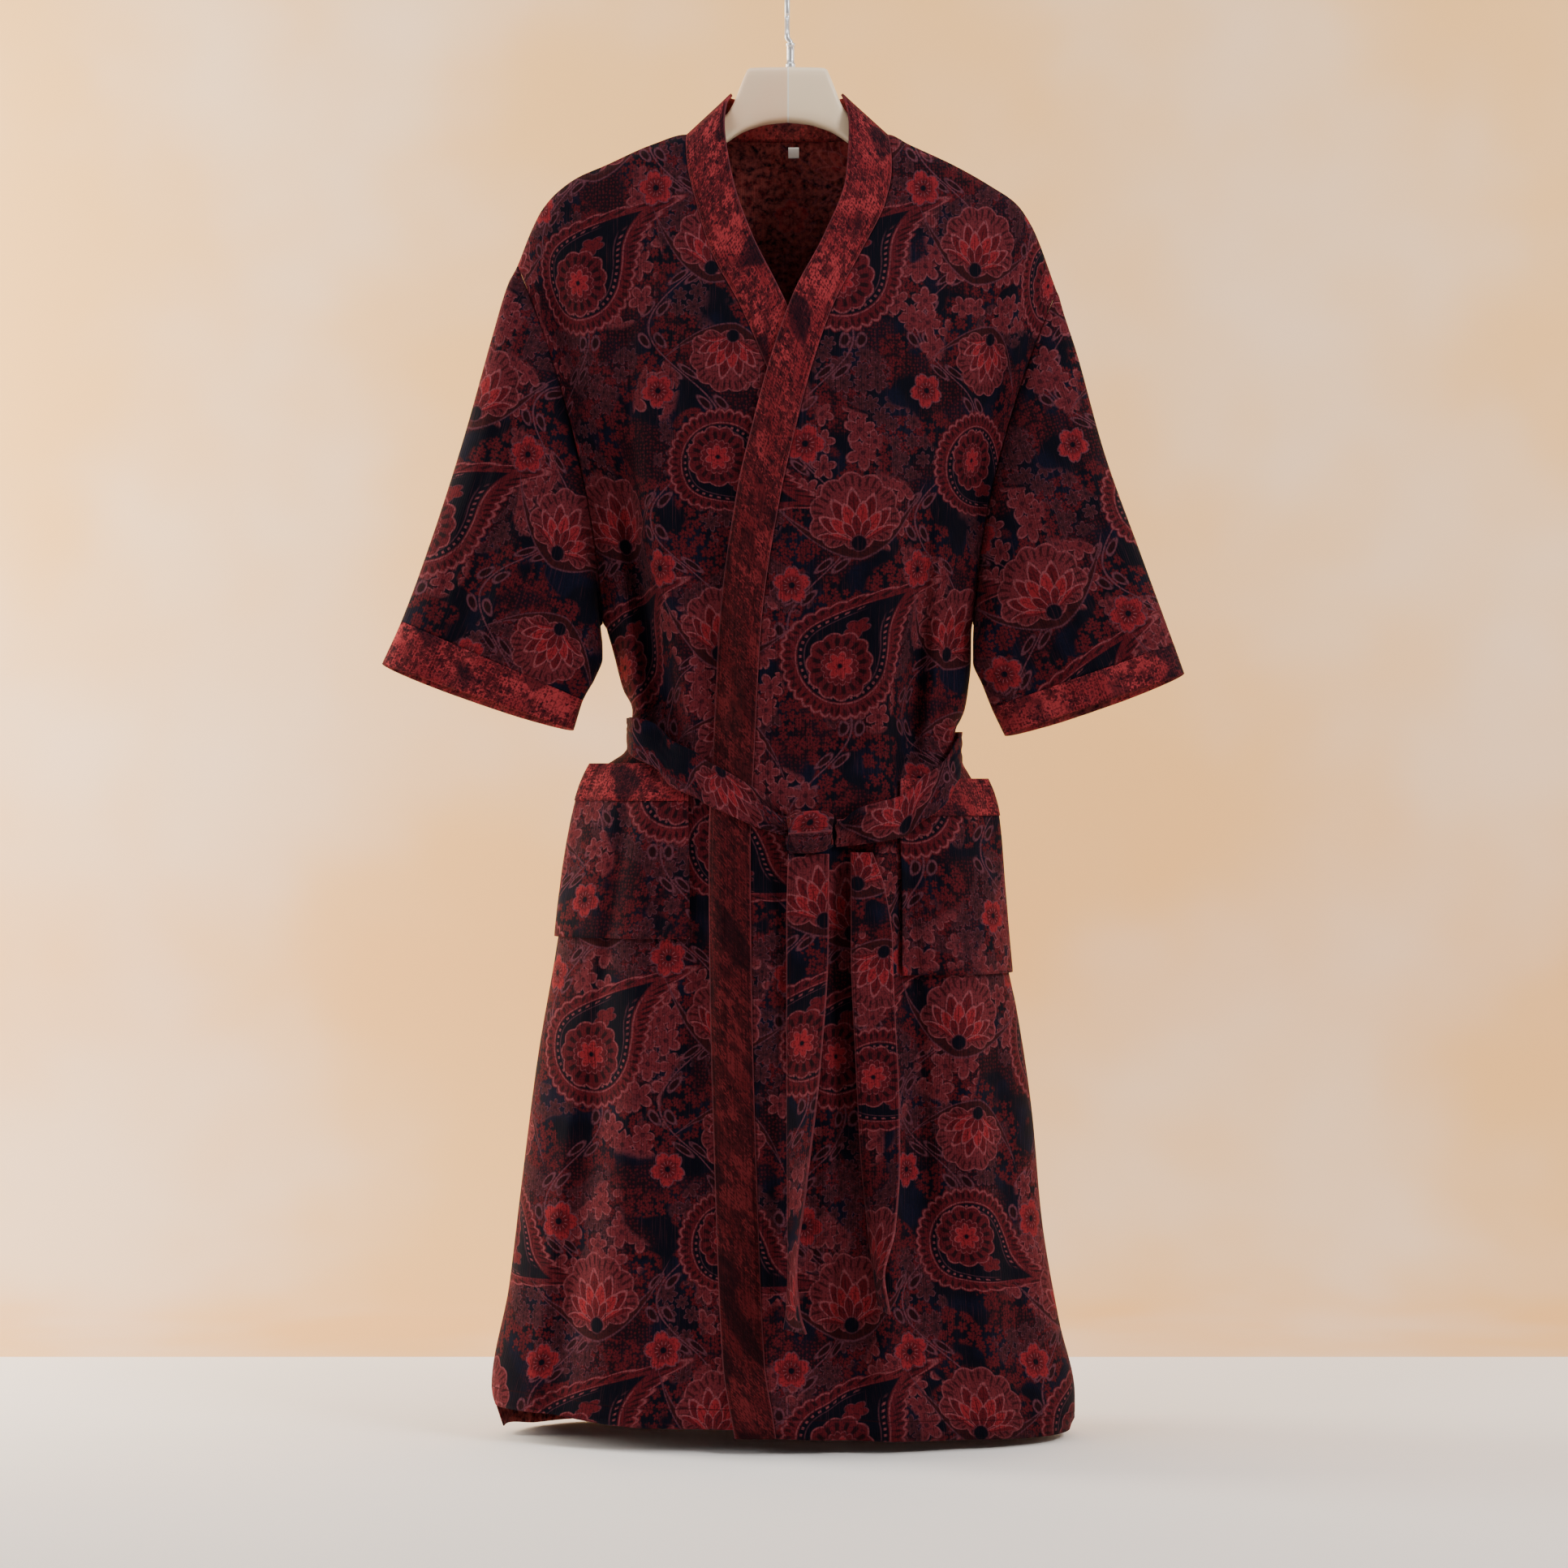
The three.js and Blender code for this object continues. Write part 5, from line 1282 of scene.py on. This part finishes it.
def cloth_material(name, group, reverse=0.0, edged=False, hem=None, painted_shade_low=False):
    """Printed cloth with a fine upright rib, stitches along its edges, and its duller reverse; where asked,
    painted shade darkens it towards the bottom.
    """
    material, tree, shader = new_material(name)
    measures = tree.nodes.new("ShaderNodeUVMap")
    measures.uv_map = "cloth"
    vector = measures.outputs[0]
    u, v, _ = parts_of(tree, vector)
    printed = tree.nodes.new("ShaderNodeGroup")
    printed.node_tree = group
    tree.links.new(vector, printed.inputs[0])
    dye = Dye(tree, socket=printed.outputs[0])
    rib = (u * (FULL_TURN / RIB_PITCH)).sin()
    slub = noise(tree, stretched(tree, vector, 900, 26), 1.0, 2.0)
    thread = noise(tree, stretched(tree, vector, 1500, 1500), 1.0, 1.0)
    dry = noise(tree, vector, 430, 2.0)
    dye.lay(NAVY, dry.rises(0.5, 0.62) * 0.5)
    dye.lay(SLUB_SHADE, slub.rises(0.5, 0.7) * 0.5)
    dye.lay(ROSE, slub.rises(0.44, 0.26) * 0.1)
    if painted_shade_low:
        # Painted shade: the band grows darker towards the bottom, where less light falls.
        dye.lay(BAND_PAINTED_SHADE, v.rises(-0.62, -0.16, 0.66, 0.0))
    if reverse:
        dye.lay(REVERSE, noise(tree, vector, 150, 5.0, 0.65).rises(0.34, 0.64) * reverse)
    if edged:
        rim = attribute(tree, "rim_u")
        dye.lay(ROSE, rim.below(0.0009, 0.0005) * 0.45)
        dye.lay(WINE, rim.near(STITCH_IN, 0.0005, 0.0004) * 0.5)
    if hem is not None:
        dye.lay(WINE, attribute(tree, "rim_v").near(hem, 0.0006, 0.0004) * 0.6)
    tree.links.new(dye.socket, shader.inputs["Base Color"])
    for socket, value in CLOTH_FINISH.items():
        shader.inputs[socket].default_value = value
    relief = rib * 0.5 + slub * 1.4 + thread * 0.8
    if edged:
        relief = relief - attribute(tree, "rim_u").near(STITCH_IN, 0.0008, 0.0006) * 3.0
    if hem is not None:
        relief = relief - attribute(tree, "rim_v").near(hem, 0.0008, 0.0006) * 3.0
    add_relief(tree, shader, relief)
    return material


def plain_material(name, colour, roughness, metallic=0.0, coat=0.0, grain=40, tint_and_painted_light=None):
    """A smooth finish with a faint mottle in its surface, and a second layer over it: a second colour on the
    backdrop, painted shade and a painted highlight on the hanger.
    """
    material, tree, shader = new_material(name)
    place = tree.nodes.new("ShaderNodeTexCoord")
    mottle = noise(tree, place.outputs["Object"], grain, 3.0)
    dye = Dye(tree, colour)
    # The second layer: the wall's colour on the backdrop, painted shade and a painted highlight on the
    # hanger.
    if tint_and_painted_light:
        tint_and_painted_light(dye, place.outputs["Object"])
    shade = tuple(part * 0.94 for part in colour[:3]) + (1.0,)
    dye.lay(shade, mottle.rises(0.35, 0.75) * 0.4)
    tree.links.new(dye.socket, shader.inputs["Base Color"])
    tree.links.new(mottle.rises(0.3, 0.7, roughness, roughness + 0.04).socket, shader.inputs["Roughness"])
    shader.inputs["Metallic"].default_value = metallic
    shader.inputs["Coat Weight"].default_value = coat
    return material


def hanger_painted_shade_and_highlight(dye, vector):
    """Painted shade and a painted highlight on the block: its right half is painted darker and pinker as if
    in shade, and the upright line where the two halves meet is painted light.
    """
    x, _, z = parts_of(dye.tree, vector)
    block = z.rises(-0.132, -0.126)
    # Painted shade: the block's right half is darker and pinker.
    dye.lay(linear(252, 212, 176), x.below(0.0, 0.0004) * block * 0.8)
    # Painted highlight: a light upright line down the middle of the block.
    dye.lay(linear(255, 248, 236), x.near(0.0008, 0.0007, 0.0004) * block)


def wall_tint(dye, vector):
    """The backdrop is warm beyond the pale floor."""
    _, y, _ = parts_of(dye.tree, vector)
    dye.lay(WALL_WARM, y.rises(FLOOR_END, FLOOR_END + 0.008))


# ---------------------------------------------------------------- finishes

PAISLEYS = print_group("paisley_print", paisley_print)
FLECKS = print_group("border_print", border_print)
PRINT = cloth_material("print_cloth", PAISLEYS)
PRINT_HEMMED = cloth_material("print_cloth_hemmed", PAISLEYS, hem=HEM_STITCH)
PRINT_BACK = cloth_material("print_reverse", PAISLEYS, reverse=0.55)
BELT_PRINT = cloth_material("print_belt", PAISLEYS, edged=True)
BORDER = cloth_material("border_cloth", FLECKS, edged=True)
# The long collar bands carry painted shade towards the bottom.
BORDER_LONG = cloth_material("border_cloth_long", FLECKS, edged=True, painted_shade_low=True)
BORDER_BACK = cloth_material("border_reverse", FLECKS, reverse=0.25)
TAG_FINISH = plain_material("tag_cloth", linear(236, 234, 230), 0.7, grain=300)
# The hanger's plastic carries painted shade on one half of its block and a painted highlight down its middle.
HANGER_PLASTIC = plain_material("hanger_plastic", linear(255, 230, 196), 0.42, coat=0.15, tint_and_painted_light=hanger_painted_shade_and_highlight)
HOOK_METAL = plain_material("hook_metal", linear(226, 226, 228), 0.34, metallic=0.75)

# Kinds of cloth: slot, wall in millimetres, and the finishes of face and reverse.
KINDS = {
    "panel": ("print_cloth", CLOTH, (PRINT, PRINT_BACK)),
    "hemmed": ("print_cloth", CLOTH, (PRINT_HEMMED, PRINT_BACK)),
    "belt": ("print_cloth", BELT_CLOTH, (BELT_PRINT, PRINT_BACK)),
    "band": ("border_cloth", BAND_CLOTH, (BORDER, BORDER_BACK)),
    "long_band": ("border_cloth", BAND_CLOTH, (BORDER_LONG, BORDER_BACK)),
    "tag": ("tag_cloth", TAG_THICK, (TAG_FINISH, TAG_FINISH)),
}

# ---------------------------------------------------------------- the robe

FRONT = (0, -1, 0)
BEHIND = (0, 1, 0)


def from_seam(sign):
    """A front's cloth measures: across from where its collar seam lies, and down by height."""

    def measure(net):
        return net[:, :1, 0] + sign * runs(net, 1), net[..., 2]

    return measure


def centred(net):
    """The back's cloth measures: across from its middle column, and down by height."""
    run = runs(net, 1)
    middle = net.shape[1] // 2
    return run - run[:, middle:middle + 1], net[..., 2]


def strip(across, down):
    """A strip's cloth measures, with its own place in the print."""

    def measure(net):
        run = runs(net, 1)
        middle = net.shape[1] // 2
        return across + run - run[:, middle:middle + 1], down - runs(net, 0)

    return measure


def on_sleeve(across, down):
    """A sleeve's cloth measures: across from its outer fold, and along its own axis."""

    def measure(net):
        axis = net[-1].mean(axis=0) - net[0].mean(axis=0)
        axis = unit(axis)
        reach = net @ np.cross(axis, (0, 1, 0))
        middle = net.shape[1] // 2
        off = reach - reach[:, middle:middle + 1]
        behind = np.arange(net.shape[1]) < middle
        return across + np.where(behind, -off, off), down - net @ axis

    return measure


def sew(node, kind, rows, columns, place, measure, outward=None):
    """Makes one piece of the robe from its kind of cloth."""
    slot, thickness, materials = KINDS[kind]
    obj = cloth_wall(f"{node}_cloth", rows, columns, place, measure, outward)
    thicken(obj, thickness)
    dress(obj, node, materials)


OVER = panel_surface(LEFT, LEFT_BAND, hem_left, lap_lift)
UNDER = panel_surface(RIGHT, RIGHT_BAND, hem_right, under_lift)
BODY_ROWS = 200


def back_surface(u, v):
    """The back, from its right side seam at u 0 to its left one. Its hem drops beside the right seam."""
    turn = mix(-RIGHT_ANGLE, RIGHT_ANGLE, u)
    sine = np.sin(turn)
    level = body_level(v, HEM_BACK - HEM_DROP * smooth(-1, -0.9, sine) * smooth(-0.2, -0.6, sine))
    points = body_point(1, turn, level, 0.0, BACK_CREASES)
    points[..., 1] += hem_wave(1, turn, points[..., 0], level, HEM_BACK)
    return points


sew("back", "hemmed", BODY_ROWS, 130, back_surface, centred, BEHIND)
sew("left_front", "hemmed", BODY_ROWS, 90, OVER, from_seam(1), FRONT)
sew("right_front", "hemmed", BODY_ROWS, 90, UNDER, from_seam(-1), FRONT)
OVER_BAND = band_surface(LEFT_BAND, OVER, lap_lift)
UNDER_BAND = band_surface(RIGHT_BAND, UNDER, under_lift)
sew("collar_band_left", "long_band", BODY_ROWS, 8, OVER_BAND, strip(0.02, 0.0), FRONT)
sew("collar_band_right", "long_band", BODY_ROWS, 8, UNDER_BAND, strip(0.05, 0.01), FRONT)
sew("collar_band_back", "band", 12, 60, back_band_surface, strip(0.0, 0.0), BEHIND)

SLEEVES = {"right": (RIGHT, RIGHT_SLEEVE, 0.06, -0.05), "left": (LEFT, LEFT_SLEEVE, 0.16, 0.11)}
for label, (side, source, across, down) in SLEEVES.items():
    sleeve = sleeve_surface(side, source, 0, 1)
    cuff = sleeve_surface(side, source, CUFF_START, CUFF_END, BAND_PROUD)
    sew(f"{label}_sleeve", "panel", 90, 150, sleeve, on_sleeve(across, down))
    sew(f"{label}_cuff", "band", 10, 150, cuff, on_sleeve(across, down))

POCKETS = {"right": (RIGHT_POCKET, -0.13), "left": (LEFT_POCKET, 0.11)}
for label, (pocket, across) in POCKETS.items():
    bag = pocket_surface(pocket, pocket["bottom"], pocket["seam"] - BAG_GAP, CLOTH)
    mouth = pocket_surface(pocket, pocket["seam"], pocket["top"], BAND_CLOTH)
    sew(f"{label}_pocket", "panel", 40, 44, bag, strip(across, 0.07), FRONT)
    sew(f"{label}_pocket_trim", "band", 10, 44, mouth, strip(across, 0.03), FRONT)

sew("belt_right_front", "belt", 16, 90, belt_surface(RIGHT, BELT_RIGHT, 2.0), strip(0.02, 0.03), FRONT)
sew("belt_left_front", "belt", 16, 90, belt_surface(LEFT, BELT_LEFT, 1.4), strip(0.11, 0.22), FRONT)
sew("belt_back", "belt", 12, 120, belt_back_surface, strip(0.0, 0.11), BEHIND)
sew("belt_knot", "belt", 40, 72, knot_surface, strip(0.06, 0.3))
sew("belt_tail_a", "belt", 120, 12, tail_surface(TAIL_A, 1.4), strip(0.05, 0.25), FRONT)
sew("belt_tail_b", "belt", 120, 12, tail_surface(TAIL_B, -1.4), strip(0.19, 0.12), FRONT)
sew("neck_tag", "tag", 8, 8, tag_surface, strip(0, 0), FRONT)

# ---------------------------------------------------------------- the hanger and its hook


def solid_piece(node, rows, columns, place, material):
    obj = cloth_wall(f"{node}_body", rows, columns, place, strip(0, 0))
    return dress(obj, node, (material,))


hanger = solid_piece("hanger", 160, 32, hanger_surface, HANGER_PLASTIC)
solid_piece("hook", 120, 24, hook_surface, HOOK_METAL)
solid_piece("ferrule", 28, 32, ferrule_surface, HOOK_METAL)

# ---------------------------------------------------------------- floor, light and camera

FLOOR_Z = -1.332
FLOOR_END = 0.46
SWEEP_NEAR = -3.2
SWEEP_BACK = 1.1
SWEEP_RADIUS = 0.35
SWEEP_TOP = 2.2
SWEEP_HALF = 4.5


def sweep_profile(share):
    """The floor runs back and turns up into the backdrop in one smooth bend."""
    run = SWEEP_BACK - SWEEP_RADIUS - SWEEP_NEAR
    bend = SWEEP_RADIUS * RIGHT_ANGLE
    way = share * (run + bend + SWEEP_TOP)
    angle = np.clip((way - run) / SWEEP_RADIUS, 0, RIGHT_ANGLE)
    up = np.maximum(way - run - bend, 0)
    y = SWEEP_NEAR + np.minimum(way, run) + SWEEP_RADIUS * np.sin(angle)
    z = FLOOR_Z + SWEEP_RADIUS * (1 - np.cos(angle)) + up
    return y, z


def add_sweep():
    bm = bmesh.new()
    bmesh.ops.create_grid(bm, x_segments=2, y_segments=120, size=0.5)
    for vert in bm.verts:
        y, z = sweep_profile(vert.co.y + 0.5)
        vert.co = (vert.co.x * 2 * SWEEP_HALF, float(y), float(z))
    for face in bm.faces:
        face.smooth = True
    backdrop = add_mesh("backdrop", bm)
    paper = plain_material("backdrop_paper", linear(252, 249, 249), 0.9, grain=2, tint_and_painted_light=wall_tint)
    backdrop.data.materials.append(paper)


def add_light(name, place, aim, size, power, colour):
    lamp = bpy.data.lights.new(name, "AREA")
    lamp.shape = "RECTANGLE"
    lamp.size, lamp.size_y = size
    lamp.energy = power
    lamp.color = colour
    obj = add_object(name, lamp)
    obj.location = place
    way = obj.location - type(obj.location)(aim)
    obj.rotation_euler = way.to_track_quat("Z", "Y").to_euler()


def add_camera():
    camera = bpy.data.cameras.new("camera")
    camera.lens = 85
    camera.sensor_width = 36
    obj = add_object("camera", camera)
    obj.location = (-0.003, -3.42, -0.731)
    obj.rotation_euler = (RIGHT_ANGLE, 0, 0)
    bpy.context.scene.camera = obj


add_sweep()
CHEST = (0.0, 0.0, -0.4)
add_light("key", (2.3, -1.7, 1.1), CHEST, (1.1, 1.1), 68, (1.0, 0.97, 0.93))
add_light("fill", (-2.5, -1.7, 0.6), CHEST, (1.4, 1.4), 25, (1.0, 0.98, 0.96))
add_light("wash", (0.0, -0.2, 1.9), (0.0, 1.0, -0.6), (3.0, 1.0), 44, (1.0, 0.97, 0.94))
for label, sign, power in (("wall_left", -1, 62), ("wall_right", 1, 12)):
    add_light(label, (sign * 1.7, 0.35, -0.3), (sign * -0.2, 1.2, -0.7), (0.7, 1.6), power, (1.0, 0.9, 0.74))
add_camera()
world = bpy.data.worlds.new("studio")
world.use_nodes = True
background = world.node_tree.nodes["Background"]
background.inputs["Color"].default_value = (0.93, 0.91, 0.88, 1)
background.inputs["Strength"].default_value = 0.2
bpy.context.scene.world = world
